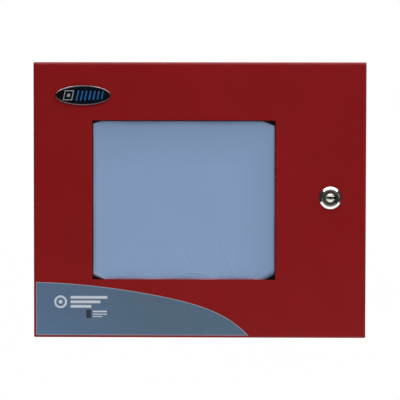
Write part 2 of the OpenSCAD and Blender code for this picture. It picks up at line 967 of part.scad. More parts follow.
module fuse_holders() {
  color("goldenrod")
    for (x = fuse_xs, side = [-1, 1])
      difference() {
        block(on_main(x, fuse_z + side * (fuse_l / 2 - 3)), [7, fuse_up + fuse_r, 5]);
        translate(on_main(x, fuse_z) + [0, -fuse_up, -fuse_l])
          cylinder(r = fuse_r, h = 2 * fuse_l, $fn = round_fn);
        block(on_main(x, fuse_z) + [0, -fuse_up, 0], [2 * fuse_r - 0.8, 9, 3 * fuse_l]);
      }
}

module fuses() {
  color("lightyellow")
    for (x = fuse_xs)
      translate(on_main(x, fuse_z) + [0, -fuse_up, -fuse_l / 2])
        cylinder(r = fuse_r - 0.05, h = fuse_l, $fn = round_fn);
}

module heatsink() {
  base_t = 3;
  fin_t = 1.4;
  pitch = (heatsink_size.x - fin_t) / (heatsink_fins - 1);
  at = on_main(heatsink_at.x, heatsink_at.y);
  color([0.15, 0.15, 0.16]) {
    block(at, [heatsink_size.x, base_t, heatsink_size.z]);
    for (i = [0 : heatsink_fins - 1])
      block(at + [-heatsink_size.x / 2 + fin_t / 2 + i * pitch, 0, 0],
        [fin_t, heatsink_size.y, heatsink_size.z]);
  }
}

// Power supply
module power_cage() {
  color("lightgray")
    difference() {
      block([cage_x, -sheet_t, cage_z], [cage_w, cage_d, cage_h]);
      block([cage_x, -sheet_t + 1, cage_z],
        [cage_w - 2 * sheet_t, cage_d + 1 - sheet_t, cage_h - 2 * sheet_t]);
      for (i = [0 : cage_slots - 1], side = [-1, 1])
        block([cage_x + side * cage_w / 4, -cage_d + 5,
          cage_z + (i - (cage_slots - 1) / 2) * 2.6 * cage_slot_w],
          [cage_slot_l * 0.9, 10, cage_slot_w]);
    }
}

module transformer() {
  at = [cage_x, -sheet_t, cage_z - core_down];
  color("saddlebrown") {
    block(at, [core_size.x, core_size.y, core_size.z]);
    block(at, [coil_size.x, coil_size.y, coil_size.z]);
  }
}

module mains_block() {
  w = mains_ways * mains_pitch;
  color("ivory")
    difference() {
      block([cage_x, -sheet_t, mains_z], [w, mains_d, mains_h]);
      for (i = [0 : mains_ways - 1]) {
        x = cage_x + (i - (mains_ways - 1) / 2) * mains_pitch;
        rod([x, -sheet_t - mains_d + 7, mains_z - 3], 2.6, 9);
        block([x, -sheet_t - mains_d + 12, mains_z + mains_h / 2], [7, 6, 9]);
      }
      for (i = [1 : mains_ways - 1])
        block([cage_x + (i - mains_ways / 2) * mains_pitch, -sheet_t - mains_d + 4, mains_z],
          [1.5, 9, mains_h + 2]);
    }
}

// Batteries: a moulded case under a lid that is set in all round
module battery(x) {
  lid_t = 5;
  lid_in = 0.6;
  block([x, battery_y, battery_z - lid_t / 2], [battery_l, battery_d, battery_h - lid_t]);
  block([x, battery_y - lid_in, battery_z + battery_h / 2 - lid_t / 2],
    [battery_l - 2 * lid_in, battery_d - 2 * lid_in, lid_t]);
}

module battery_left() {
  color([0.22, 0.23, 0.25])
    battery(-battery_x);
}

module battery_right() {
  color([0.22, 0.23, 0.25])
    battery(battery_x);
}

module battery_tabs() {
  color("silver")
    for (side = [-1, 1], y = [tab_rear_y, tab_front_y])
      translate([side * tab_x - tab_w / 2, y - tab_t / 2, tab_top_z - tab_h])
        cube([tab_w, tab_t, tab_h]);
}

// A web between the batteries, with a foot on the wall and a bar across both fronts
module battery_bracket() {
  front_y = battery_y - battery_d - holder_gap;
  bar_z = -inner_z + holder_top - holder_h / 2;
  color("lightgray")
    difference() {
      union() {
        block([0, -sheet_t, bar_z], [sheet_t, -front_y, holder_h]);
        block([holder_foot / 2 - sheet_t / 2, -sheet_t, bar_z], [holder_foot, sheet_t, holder_h]);
        block([0, front_y, bar_z], [holder_w, sheet_t, holder_h]);
      }
      rod([holder_stud.x, 0, holder_stud.y], m4_r + 0.3, 9);
    }
}

module lead_red() {
  color("red")
    lead(red_route, lead_r, [1, 0, 0.1]);
}

module lead_black() {
  color([0.08, 0.08, 0.08])
    lead(black_route, lead_r, [0, 1, 0.1]);
}

module lead_link() {
  color("blue")
    lead(link_route, lead_r, [0, 1, 0]);
}

module bonding_lead() {
  color("yellowgreen")
    lead(bond_route, bond_r, [1, 0, 0.1]);
}

// Door
lens_studs = concat(
  [for (sx = [-1, 1], sz = [-1, 1])
    [window_x + sx * (window_w / 2 + stud_out), window_up + sz * window_h * 0.36]],
  [for (sx = [-1, 1], sz = [-1, 1])
    [window_x + sx * window_w * 0.36, window_up + sz * (window_h / 2 + stud_out)]]);

module door_panel() {
  color("firebrick")
    difference() {
      union() {
        difference() {
          intersection() {
            translate([0, face_y, 0])
              pan_block(door_w, door_h, skirt_d, fold_r);
            plate(0, overall_d + 1)
              rounded_rect(door_w, door_h, corner_r);
          }
          translate([0, door_in_y, 0])
            pan_block(door_w - 2 * sheet_t, door_h - 2 * sheet_t, skirt_d, fold_r - sheet_t);
          translate([left_x - 1, hinge_y - hinge_edge, -door_h])
            cube([hinge_x - left_x + knuckle_r + 1, skirt_d, 2 * door_h]);
        }
        for (at = lens_studs)
          translate([at.x, door_in_y - 0.1, at.y])
            rotate([-90, 0, 0])
              cylinder(r = lens_stud_r,
                h = gasket_t + lens_t + retainer_t + lens_nut_t + stud_past_nut + 0.1, $fn = round_fn);
        translate([bond_stud_x, door_in_y - 0.1, bond_z])
          rotate([-90, 0, 0])
            cylinder(r = lens_stud_r, h = 6, $fn = round_fn);
      }
      plate(0, overall_d + 1) {
        translate([window_x, window_up])
          square([window_w, window_h], center = true);
        translate([lock_x, lock_z])
          barrel_outline(0.15);
      }
    }
}

// The barrel's outline: a circle with two flats, which stops it turning
module barrel_outline(gap) {
  intersection() {
    circle(r = barrel_r + gap, $fn = round_fn);
    square([4 * barrel_r, barrel_flats + 2 * gap], center = true);
  }
}

module hinge_leaf_door() {
  leaf_x = left_x + sheet_t;
  clear = hinge_edge - 0.1;
  color("gray")
    difference() {
      union() {
        hinge_knuckles(1);
        hinge_tongues(1, leaf_x, hinge_y - clear - 0.5, clear - leaf_root + 0.5);
        translate([leaf_x, hinge_y - clear - leaf_w, -hinge_len / 2])
          cube([leaf_t, leaf_w, hinge_len]);
      }
      hinge_bore();
    }
}

module door_nuts() {
  color("silver") {
    for (at = lens_studs)
      difference() {
        hex_rod([at.x, retainer_y + retainer_t + lens_nut_t, at.y], lens_nut_flats, lens_nut_t);
        rod([at.x, 0, at.y], lens_stud_r + 0.05, overall_d);
      }
    difference() {
      hex_rod([bond_stud_x, door_in_y + lens_nut_t, bond_z], lens_nut_flats, lens_nut_t);
      rod([bond_stud_x, 0, bond_z], lens_stud_r + 0.05, overall_d);
    }
  }
}

module window_frame(outer_lap, inner_lap) {
  difference() {
    square([window_w + 2 * outer_lap, window_h + 2 * outer_lap], center = true);
    square([window_w + 2 * inner_lap, window_h + 2 * inner_lap], center = true);
  }
}

module window_gasket() {
  color([0.08, 0.08, 0.08])
    plate(lens_y, gasket_t)
      translate([window_x, window_up])
        window_frame(lens_lap - 0.5, gasket_lap);
}

module window_lens() {
  color([0.7, 0.75, 0.8, 0.4])
    plate(lens_y + lens_t, lens_t)
      translate([window_x, window_up])
        square([window_w + 2 * lens_lap, window_h + 2 * lens_lap], center = true);
}

module lens_retainer() {
  color("silver")
    plate(retainer_y + retainer_t, retainer_t)
      difference() {
        translate([window_x, window_up])
          window_frame(lens_lap + retainer_w, lens_lap - 5);
        for (at = lens_studs)
          translate(at)
            circle(r = lens_stud_r + 0.3, $fn = round_fn);
      }
}

// Clear film, cut off at its four corners, laid on the lens in the window
module protective_film() {
  w = window_w / 2 - film_gap;
  h = window_h / 2 - film_gap;
  color("lightsteelblue")
    plate(lens_y, film_t)
      translate([window_x, window_up])
        polygon([
          [w, -h + film_cuts[0].y], [w, h - film_cuts[1].y],
          [w - film_cuts[1].x, h], [-w + film_cuts[2].x, h],
          [-w, h - film_cuts[2].y], [-w, -h + film_cuts[3].y],
          [-w + film_cuts[3].x, -h], [w - film_cuts[0].x, -h]
        ]);
}

module oval(a, b) {
  scale([1, b / a])
    circle(r = a, $fn = 64);
}

module badge_bezel() {
  color("silver")
    plate(face_y, badge_t)
      translate([badge_x, badge_z])
        difference() {
          oval(badge_a, badge_b);
          oval(badge_a - badge_rim, badge_b - badge_rim);
        }
}

module badge_insert() {
  color([0.06, 0.1, 0.16])
    plate(face_y, badge_dome)
      translate([badge_x, badge_z])
        oval(badge_a - badge_rim - badge_fit, badge_b - badge_rim - badge_fit);
}

// The label's top edge falls slowly at first and then turns down: a low power and a high power of u
function label_top(u) =
  label_h * (1 - label_share * pow(u, label_slope) - (1 - label_share) * pow(u, label_bend));

module corner_label() {
  color("slategray")
    plate(face_y, label_t)
      translate([left_x + label_in, -door_h / 2 + label_in])
        polygon(concat(
          [[0, 0]],
          [for (i = [0 : label_steps])
            let (u = 1 - pow(1 - i / label_steps, 1.5))
            [label_w * u, label_top(u)]]));
}

// Lock
function on_lock(y) = [lock_x, y, lock_z];

module lock_body() {
  bore_r = plug_r + plug_fit;
  color("silver")
    difference() {
      union() {
        plate(barrel_rear_y, barrel_rear_y - face_y)
          translate([lock_x, lock_z])
            barrel_outline(0);
        translate(on_lock(face_y))
          rotate([90, 0, 0])
            rotate_extrude($fn = round_fn)
              polygon([[0, 0], [lock_head_r, 0], [lock_head_r, head_rim_t],
                [lock_head_r - head_bevel, head_t], [0, head_t]]);
      }
      rod(on_lock(barrel_rear_y + 1), bore_r, barrel_rear_y - face_y + head_t + 3);
      rod(on_lock(face_y - head_t + face_in + face_t), face_r + plug_fit, head_t);
    }
}

module lock_nut() {
  color("silver")
    difference() {
      hex_rod(on_lock(door_in_y + lock_nut_t), lock_nut_flats, lock_nut_t);
      rod(on_lock(0), barrel_r + 0.05, overall_d);
    }
}

module lock_plug() {
  disc_y = face_y - head_t + face_in + face_t - plug_fit;
  color("dimgray")
    difference() {
      union() {
        rod(on_lock(disc_y), face_r, face_t - plug_fit);
        rod(on_lock(disc_y - 0.1), boss_r, face_t - plug_fit + boss_t);
        rod(on_lock(cam_front_y), plug_r, cam_front_y - disc_y + 0.1);
        block(on_lock(cam_front_y + cam_t), [cam_square, cam_t + 1, cam_square]);
      }
      block([lock_x + slot_shift, disc_y - face_t - boss_t + slot_d, lock_z], [slot_w, slot_d + 1, slot_h]);
      rod(on_lock(disc_y - face_t - boss_t + slot_d), slot_pin_r, slot_d + 1);
      rod(on_lock(cam_front_y + cam_t + 1), cam_screw_r + 0.05, cam_screw_d + 1);
    }
}

module lock_cam() {
  color("gainsboro")
    plate(cam_front_y + cam_t, cam_t)
      translate([lock_x, lock_z])
        difference() {
          union() {
            circle(r = cam_head_r, $fn = round_fn);
            translate([-cam_w / 2, -cam_reach + 3])
              square([cam_w, cam_reach - 3]);
            translate([0, -cam_reach + 3])
              rounded_rect(cam_w, 6, 2.5);
          }
          square(cam_square + 0.2, center = true);
        }
}

module cam_screw() {
  rear_y = cam_front_y + cam_t;
  color("silver")
    difference() {
      union() {
        rod(on_lock(rear_y + cam_screw_head_t), cam_screw_head_r, cam_screw_head_t);
        rod(on_lock(rear_y + 0.1), cam_screw_r, cam_screw_d);
      }
      block(on_lock(rear_y + cam_screw_head_t + 1), [6, 2, 1]);
      block(on_lock(rear_y + cam_screw_head_t + 1), [1, 2, 6]);
    }
}

backbox();
hinge_leaf_box();
hinge_pin();
box_nuts();
display_bracket();
display_panel();
lcd_bezel();
lcd_glass();
display_board();
leds_red();
leds_yellow();
leds_green();
sounder();
button_switches();
standoffs();
board_screws();
plug_sockets();
ribbon_cable();
main_board();
terminal_blocks();
terminal_screws();
board_chips();
capacitors();
relays();
fuse_holders();
fuses();
heatsink();
power_cage();
transformer();
mains_block();
battery_left();
battery_right();
battery_tabs();
battery_bracket();
lead_red();
lead_black();
lead_link();
bonding_lead();
ack_button();
silence_button();
reset_button();
drill_button();
up_key();
down_key();
enter_key();
door_panel();
hinge_leaf_door();
door_nuts();
window_gasket();
window_lens();
lens_retainer();
protective_film();
badge_bezel();
badge_insert();
corner_label();
lock_body();
lock_nut();
lock_plug();
lock_cam();
cam_screw();
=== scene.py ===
"""A wall-mounted fire alarm control panel: the red door with its window, badge, label and lock, the
cabinet behind it, and the display, boards, supply and batteries inside. It is put together from the
front inwards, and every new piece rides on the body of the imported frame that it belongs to."""
import math

import bmesh
import bpy
import numpy as np
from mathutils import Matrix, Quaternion, Vector


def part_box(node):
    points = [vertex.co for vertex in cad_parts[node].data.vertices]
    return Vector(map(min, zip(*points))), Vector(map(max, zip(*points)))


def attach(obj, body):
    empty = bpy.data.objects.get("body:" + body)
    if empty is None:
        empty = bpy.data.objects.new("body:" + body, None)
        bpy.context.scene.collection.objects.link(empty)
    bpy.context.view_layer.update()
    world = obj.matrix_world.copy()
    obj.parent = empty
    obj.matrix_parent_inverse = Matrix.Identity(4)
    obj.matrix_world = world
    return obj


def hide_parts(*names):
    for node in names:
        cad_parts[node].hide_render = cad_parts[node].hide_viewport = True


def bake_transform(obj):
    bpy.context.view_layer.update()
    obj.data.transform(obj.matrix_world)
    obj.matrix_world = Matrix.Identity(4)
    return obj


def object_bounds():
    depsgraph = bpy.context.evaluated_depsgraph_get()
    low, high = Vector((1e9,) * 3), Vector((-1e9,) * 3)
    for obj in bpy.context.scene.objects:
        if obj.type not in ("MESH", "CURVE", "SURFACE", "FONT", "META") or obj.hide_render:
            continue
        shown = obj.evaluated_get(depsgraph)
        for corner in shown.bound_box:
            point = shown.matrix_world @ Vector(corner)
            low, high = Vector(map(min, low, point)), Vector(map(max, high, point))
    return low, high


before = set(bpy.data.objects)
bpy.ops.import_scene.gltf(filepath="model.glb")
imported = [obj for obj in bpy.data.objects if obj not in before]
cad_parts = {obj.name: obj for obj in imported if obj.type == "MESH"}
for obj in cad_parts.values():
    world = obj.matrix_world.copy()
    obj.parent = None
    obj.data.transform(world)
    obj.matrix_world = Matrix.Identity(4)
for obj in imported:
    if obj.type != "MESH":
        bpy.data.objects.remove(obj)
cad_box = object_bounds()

MM = 0.001


# ---- Camera: in front of the door, a little above and to the right of its middle, with a long lens.
face_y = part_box("door_panel")[0].y
camera_turn = math.radians(0.67)
camera_rise = math.radians(2.07)
camera_tilt = math.radians(0.085)
camera_distance = 1.5
aim = Vector((0.39 * MM, face_y, 0.38 * MM))
backward = Vector((math.sin(camera_turn) * math.cos(camera_rise),
                   -math.cos(camera_turn) * math.cos(camera_rise),
                   math.sin(camera_rise)))
camera = bpy.data.objects.new("camera", bpy.data.cameras.new("camera"))
bpy.context.scene.collection.objects.link(camera)
camera.data.sensor_width = 36
camera.data.lens = 136.1
camera.location = aim + backward * camera_distance
camera.rotation_mode = "QUATERNION"
camera.rotation_quaternion = (-backward).to_track_quat("-Z", "Y") @ Quaternion((0, 0, 1), camera_tilt)
bpy.context.scene.camera = camera


# ---- Studio: a pale floor well below the hanging panel, a white surround, and soft light mostly from
# above, so that the folded top edge of the door is bright and the underside of each edge is dark.
def maths_method(operation, swapped=False):
    """A method of Wire that adds one Math node on the wire and any others, in this order or swapped."""

    def method(self, *others):
        values = (others[0], self) if swapped else (self, *others)
        return self.maths(operation, *values)

    return method


class Wire:
    """One output of a shader node. Sums, products and comparisons with it add Math nodes."""

    def __init__(self, finish, socket):
        self.finish = finish
        self.socket = socket

    def maths(self, operation, *values):
        return self.finish.add("ShaderNodeMath", {"operation": operation}, values)

    __add__, __radd__ = maths_method("ADD"), maths_method("ADD", swapped=True)
    __sub__, __rsub__ = maths_method("SUBTRACT"), maths_method("SUBTRACT", swapped=True)
    __mul__, __rmul__ = maths_method("MULTIPLY"), maths_method("MULTIPLY", swapped=True)
    __truediv__, __pow__, __abs__ = maths_method("DIVIDE"), maths_method("POWER"), maths_method("ABSOLUTE")
    __lt__, __gt__ = maths_method("LESS_THAN"), maths_method("GREATER_THAN")
    least, most = maths_method("MINIMUM"), maths_method("MAXIMUM")
    fraction, whole = maths_method("FRACT"), maths_method("FLOOR")


def srgb(red, green, blue):
    """A display colour from 0 to 255 as linear light: (c + 0.055) / 1.055 to the power 2.4."""
    shares = np.array([red, green, blue]) / 255
    light = np.where(shares > 0.04045, ((shares + 0.055) / 1.055) ** 2.4, shares / 12.92)
    return (*light.tolist(), 1.0)


class Finish:
    """A material round one Principled shader, with a short way to add any other node to it."""

    def __init__(self, name, **sockets):
        self.material = bpy.data.materials.new(name)
        self.material.use_nodes = True
        self.tree = self.material.node_tree
        self.shader = self.tree.nodes["Principled BSDF"]
        for socket, value in sockets.items():
            self.set(socket.replace("_", " ").title().replace("Ior", "IOR"), value)

    def feed(self, socket, value):
        if isinstance(value, Wire):
            self.tree.links.new(value.socket, socket)
        else:
            socket.default_value = value

    def set(self, socket, value):
        self.feed(self.shader.inputs[socket], value)

    def add(self, kind, settings=(), inputs=(), output=0):
        node = self.tree.nodes.new(kind)
        for name, value in dict(settings).items():
            setattr(node, name, value)
        for name, value in inputs.items() if isinstance(inputs, dict) else enumerate(inputs):
            self.feed(node.inputs[name], value)
        return Wire(self, node.outputs[output])

    def place(self, stretch=(1, 1, 1), shift=(0, 0, 0)):
        """Object coordinates in millimetres, moved by shift and then multiplied by stretch."""
        at = self.add("ShaderNodeTexCoord", output="Object")
        return self.add("ShaderNodeMapping", (), {
            "Vector": at, "Scale": [1000 * s for s in stretch],
            "Location": [-a * s for a, s in zip(shift, stretch)]})

    def axes(self, **place):
        """The three Object coordinates in millimetres."""
        at = self.place(**place)
        return [self.add("ShaderNodeSeparateXYZ", (), [at], k) for k in range(3)]

    def noise(self, size, detail=2.0, roughness=0.5, stretch=(1, 1, 1), shift=(0, 0, 0)):
        """Cloudy noise from 0 to 1, with patches of about size in millimetres."""
        return self.add("ShaderNodeTexNoise", (), {
            "Vector": self.place(stretch, shift), "Scale": 1 / size, "Detail": detail,
            "Roughness": roughness})

    def ramp(self, value, low, high, first=0.0, last=1.0):
        """value carried from low..high to first..last, held at both ends."""
        return self.add("ShaderNodeMapRange", (), [value, low, high, first, last])

    def mix(self, factor, first, second):
        """The colour first where factor is 0 and second where it is 1."""
        node = self.tree.nodes.new("ShaderNodeMix")
        node.data_type = "RGBA"
        self.feed(node.inputs[0], factor)
        self.feed(node.inputs[6], first)
        self.feed(node.inputs[7], second)
        return Wire(self, node.outputs[2])

    def tones(self, size, detail, first, second):
        """A colour that drifts between two display colours over a noise."""
        return self.mix(self.noise(size, detail), srgb(*first), srgb(*second))

    def rough(self, size, detail, low, high):
        """Roughness that drifts from low to high over a noise."""
        self.set("Roughness", self.ramp(self.noise(size, detail), 0.3, 0.7, low, high))

    def relief(self, height, depth):
        """Bumps of depth millimetres where height goes from 0 to 1."""
        self.set("Normal", self.add("ShaderNodeBump", (), {"Height": height, "Distance": depth * MM}))


def grid_mesh(name, grids, sharp=35.0):
    """One mesh over several grids of points, each (points, around, along): rows by columns of xyz, and
    whether the last column joins the first and the last row the first. Its UV runs 0 to 1 over each
    grid. Doubles are merged, and the normals are recalculated to point outwards."""
    points, faces, uvs, used = [], [], [], 0
    for grid, around, along in grids:
        rows, columns = grid.shape[:2]
        index = used + np.arange(rows * columns).reshape(rows, columns)
        index = np.concatenate([index, index[:, :1]], 1) if around else index
        index = np.concatenate([index, index[:1]], 0) if along else index
        across, up = np.meshgrid(np.linspace(0, 1, index.shape[1]), np.linspace(0, 1, index.shape[0]))
        spread = np.stack([across, up], -1)
        corners = [np.s_[:-1, :-1], np.s_[:-1, 1:], np.s_[1:, 1:], np.s_[1:, :-1]]
        faces.append(np.stack([index[c] for c in corners], -1).reshape(-1, 4))
        uvs.append(np.stack([spread[c] for c in corners], -2).reshape(-1, 2))
        points.append(grid.reshape(-1, 3))
        used += rows * columns
    mesh = bpy.data.meshes.new(name)
    mesh.from_pydata(np.concatenate(points).tolist(), [], np.concatenate(faces).tolist())
    mesh.uv_layers.new(name="UVMap").data.foreach_set("uv", np.concatenate(uvs).ravel())
    shell = bmesh.new()
    shell.from_mesh(mesh)
    bmesh.ops.remove_doubles(shell, verts=shell.verts, dist=1e-7)
    bmesh.ops.recalc_face_normals(shell, faces=shell.faces)
    shell.to_mesh(mesh)
    shell.free()
    mesh.polygons.foreach_set("use_smooth", [True] * len(mesh.polygons))
    mesh.set_sharp_from_angle(angle=math.radians(sharp))
    return mesh


def piece(mesh, finish, body=None, replaces=()):
    """An object for a finished mesh, riding on its body and standing for the CAD nodes it replaces."""
    thing = bpy.data.objects.new(mesh.name, mesh)
    bpy.context.scene.collection.objects.link(thing)
    mesh.materials.append(finish.material)
    if body:
        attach(thing, body)
    if replaces:
        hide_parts(*replaces)
    return thing


def flat_panel(name, middle, across, up):
    """A flat rectangle: its middle and its two half sides."""
    middle, across, up = (np.array(v, float) for v in (middle, across, up))
    sides = np.linspace(-1, 1, 2)
    grid = middle + sides[None, :, None] * across + sides[:, None, None] * up
    return grid_mesh(name, [(grid, False, False)])


floor_drop = 0.55
floor_half = 9.0
floor_paint = Finish("floor paint", base_color=(0, 0, 0, 1), roughness=1.0, emission_strength=1.0)
floor_paint.set("Emission Color", floor_paint.tones(400, 2, (254, 254, 254), (255, 255, 255)))
floor = piece(flat_panel("floor", (0, 0, cad_box[0].z - floor_drop), (floor_half, 0, 0),
                         (0, floor_half, 0)), floor_paint)
floor.visible_diffuse = False
floor.visible_glossy = False
floor.visible_transmission = False

surround = bpy.data.worlds.new("surround")
bpy.context.scene.world = surround
surround.use_nodes = True
sky = surround.node_tree
seen_sky = sky.nodes["Background"]
seen_sky.inputs["Color"].default_value = (1, 1, 1, 1)
lit_sky = sky.nodes.new("ShaderNodeBackground")
lit_sky.inputs["Color"].default_value = (1, 1, 1, 1)
lit_sky.inputs["Strength"].default_value = 0.03
sky_choice = sky.nodes.new("ShaderNodeMixShader")
ray_kind = sky.nodes.new("ShaderNodeLightPath")
sky.links.new(ray_kind.outputs["Is Camera Ray"], sky_choice.inputs[0])
sky.links.new(lit_sky.outputs[0], sky_choice.inputs[1])
sky.links.new(seen_sky.outputs[0], sky_choice.inputs[2])
sky.links.new(sky_choice.outputs[0], sky.nodes["World Output"].inputs[0])
bpy.context.scene.view_settings.view_transform = "Standard"


def soft_light(name, place, towards, width, height, radiance):
    """A rectangular light of the given radiance, which takes power = radiance x area x pi."""
    source = bpy.data.lights.new(name, "AREA")
    source.shape = "RECTANGLE"
    source.size = width
    source.size_y = height
    source.energy = radiance * width * height * math.pi
    light = bpy.data.objects.new(name, source)
    bpy.context.scene.collection.objects.link(light)
    light.location = place
    light.rotation_mode = "QUATERNION"
    light.rotation_quaternion = (Vector(towards) - Vector(place)).to_track_quat("-Z", "Y")
    return light


soft_light("overhead", (0.15, -0.66, 1.15), (0.0, -0.3, 0), 2.4, 1.0, 2.55)
soft_light("low card", (0.12, -0.46, -0.50), (0.10, -0.36, 0), 2.0, 0.75, 1.2)
soft_light("right fill", (1.15, -1.25, 0.25), (0, 0, 0), 0.6, 0.6, 2.4)
# The left fill lights the panel without being seen in its glossy surfaces.
left_fill = soft_light("left fill", (-1.7, -0.55, 0.1), (0, 0, 0), 1.2, 1.6, 0.26)
left_fill.visible_glossy = False
soft_light("rear left", (-1.5, 0.9, 0.6), (0, 0, 0), 1.0, 1.0, 1.6)
soft_light("rear right", (1.5, 0.8, 0.6), (0, 0, 0), 1.0, 1.0, 1.6)


# ---- Red paint: satin polyester powder coat, baked on over folded 1.2 mm steel. It has a fine orange
# peel, faint clouds, and rubs a little paler along the edges that hands reach.
def corners(node):
    """The low and the high corner of a CAD piece, in mm."""
    return [np.array(corner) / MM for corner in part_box(node)]


def powder_coat(name, shade, node):
    """Red powder coat; shade is its main colour and node the CAD piece whose edges are rubbed, whose top
    edge gets a painted highlight and whose bottom edge gets painted shade.
    """
    paint = Finish(name, specular_ior_level=0.3)
    clouds = paint.noise(70, 3)
    peel = paint.noise(1.3, 1.5) * 0.7 + paint.noise(0.45, 1) * 0.3
    x, y, z = paint.axes()
    low, high = corners(node)
    middle, half = (low + high) / 2, (high - low) / 2
    edge_x = paint.ramp(abs(x - middle[0]), half[0] - 1.6, half[0])
    edge_z = paint.ramp(abs(z - middle[2]), half[2] - 1.6, half[2])
    rub = edge_x.most(edge_z) * paint.ramp(paint.noise(9, 4), 0.42, 0.72)
    pale = srgb(*[min(255, 1.12 * c + 14) for c in shade])
    deep = srgb(*[0.93 * c for c in shade])
    colour = paint.mix(clouds, deep, srgb(*[1.04 * c for c in shade]))
    # Painted highlight: the top 3 mm turn paler pink, standing for overhead light on the folded top edge.
    colour = paint.mix(paint.ramp(z, high[2] - 3.2, high[2] - 0.6, 0, 0.22), colour, srgb(226, 120, 128))
    # Painted shade: the bottom 1 mm darkens, standing for the shadowed underside of the folded bottom
    # edge.
    colour = paint.mix(paint.ramp(z, low[2] + 1.1, low[2] + 0.2, 0, 0.6), colour, srgb(40, 8, 10))
    paint.set("Base Color", paint.mix(rub * 0.5, colour, pale))
    paint.set("Roughness", paint.ramp(paint.noise(22, 4), 0.3, 0.7, 0.38, 0.44) + peel * 0.03)
    paint.relief(peel, 0.02)
    return paint


def dress(finish, *names):
    """CAD nodes that keep their shape get this finish in their material slots."""
    for name in names:
        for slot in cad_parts[name].material_slots:
            slot.material = finish.material


dress(powder_coat("door paint", (151, 18, 21), "door_panel"), "door_panel")
dress(powder_coat("cabinet paint", (149, 18, 21), "backbox"), "backbox")


# ---- Zinc plated steel: hinge, pin, nuts, retainer, brackets, cam and screws. Bright pressed steel with
# a fine grain along its length and cloudy plating.
def plated(name, tone, roughness, grain=(1, 1, 1), warm=0.0):
    """Bare plated metal; tone is its brightness and grain the direction along which it is drawn."""
    metal = Finish(name, metallic=1.0)
    streaks = metal.noise(0.8, 3, 0.6, grain)
    clouds = metal.noise(12, 3)
    low = (tone * 0.82, tone * (0.82 - warm), tone * (0.83 - 2 * warm), 1)
    high = (tone, tone * (1 - warm), tone * (1.01 - 2 * warm), 1)
    metal.set("Base Color", metal.mix(clouds, low, high))
    grain_level = streaks + clouds * 0.5
    metal.set("Roughness", metal.ramp(grain_level, 0.4, 1.1, roughness - 0.07, roughness + 0.09))
    metal.relief(streaks, 0.01)
    return metal


dress(plated("hinge zinc", 0.62, 0.36, (1, 1, 0.08)), "hinge_leaf_box", "hinge_leaf_door", "hinge_pin")
dress(plated("fixing zinc", 0.68, 0.3), "box_nuts", "door_nuts", "standoffs", "board_screws", "lock_nut",
      "cam_screw", "terminal_screws", "battery_tabs")
dress(plated("pressed sheet", 0.6, 0.4, (0.1, 1, 1)), "display_bracket", "battery_bracket", "power_cage",
      "lens_retainer")
dress(plated("cam steel", 0.66, 0.3, (1, 1, 0.15), 0.03), "lock_cam")


# ---- Window: a clear sheet of polycarbonate in a strip of black foam, held by a steel frame behind it.
foam = Finish("gasket foam", base_color=srgb(16, 14, 15), roughness=0.9)
foam.relief(foam.noise(0.5, 2), 0.15)
dress(foam, "window_gasket")

lens = Finish("clear lens", transmission_weight=1.0, ior=1.585)
lens.set("Base Color", lens.mix(lens.noise(40), (0.96, 0.98, 0.98, 1), (0.99, 1, 1, 1)))
lens.set("Roughness", lens.ramp(lens.noise(14, 5), 0.4, 0.8, 0.03, 0.09))
dress(lens, "window_lens")


# ---- Protective film: a thin, pale blue plastic sheet that ships on the lens, cut off at its corners.
# It is laid on by hand, so its edges lift in shallow waves and a few creases cross its lower half.
lens_front = corners("window_lens")[0][1]
film_low, film_high = corners("protective_film")
film_low = film_low - [0.15, 0, 0.95]
film_high = film_high + [0.15, 0, 0.15]
film_middle = (film_low + film_high) / 2
film_half = (film_high - film_low) / 2
film_cuts = {"top left": (8, 3), "top right": (12, 5), "bottom left": (11, 4), "bottom right": (10, 5)}
creases = [
    (1.0, 0.42, [(36, -40, 0.2), (41, -54, 0.8), (53, -78, 1.0)]),
    (1.3, 0.55, [(66, -78, 1.0), (90, -58, 0.8)]),
    (1.3, 0.3, [(-10, -36, 0.2), (2, -46, 0.7), (8, -60, 0.9), (7, -72, 0.3)]),
    (0.9, 0.25, [(-34, -62, 0.3), (-30, -70, 0.9), (-24, -78, 0.6)]),
    (1.2, 0.5, [(-4, -74, 0.5), (8, -71.5, 1.0), (20, -73, 0.9), (31, -78, 0.3)]),
]


def cut_back(z, side):
    """How far the film's end at that side is cut back at height z: straight lines across its corners."""
    total = 0
    for end, sign in (("top", 1), ("bottom", -1)):
        width, height = film_cuts[f"{end} {side}"]
        total = total + width * np.clip(1 - (film_half[2] - sign * z) / height, 0, 1)
    return total


def fold_line(x, z, points, width, height):
    """A crease along straight stretches from point to point, each (x, z, share of the height): height x
    exp(-(distance / width) squared)."""
    rise = np.zeros_like(x)
    for (x0, z0, h0), (x1, z1, h1) in zip(points, points[1:]):
        length = math.hypot(x1 - x0, z1 - z0)
        along = np.clip(((x - x0) * (x1 - x0) + (z - z0) * (z1 - z0)) / length ** 2, 0, 1)
        away = np.hypot(x - x0 - along * (x1 - x0), z - z0 - along * (z1 - z0))
        rise = np.maximum(rise, height * (h0 + along * (h1 - h0)) * np.exp(-(away / width) ** 2))
    return rise


def film_rise(x, z):
    """Height of the film over the lens in mm: a thin air gap, slow waves, lifted edges and creases."""
    near_x = film_half[0] - np.abs(x)
    near_top = film_half[2] - z
    near_bottom = film_half[2] + z
    waves = 0.10 * np.sin(x / 21 + 0.6) * np.sin(z / 26 - 0.4) + 0.05 * np.sin(x / 9.5 + z / 13)
    top = 0.55 * np.exp(-near_top / 4.5) * (0.5 + 0.5 * np.sin(x / 11.0 + 2.2)) ** 2
    bottom = 1.0 * np.exp(-near_bottom / 4.0) * (0.5 + 0.5 * np.sin(x / 8.7 - 1.1)) ** 2
    sides = 0.45 * np.exp(-near_x / 3.5) * (0.5 + 0.5 * np.sin(z / 12.0 + 0.8)) ** 2
    rise = 0.35 + waves + top + bottom + sides
    for width, height, points in creases:
        rise = rise + fold_line(x, z, points, width, height)
    return np.clip(rise, 0.15, 1.5)


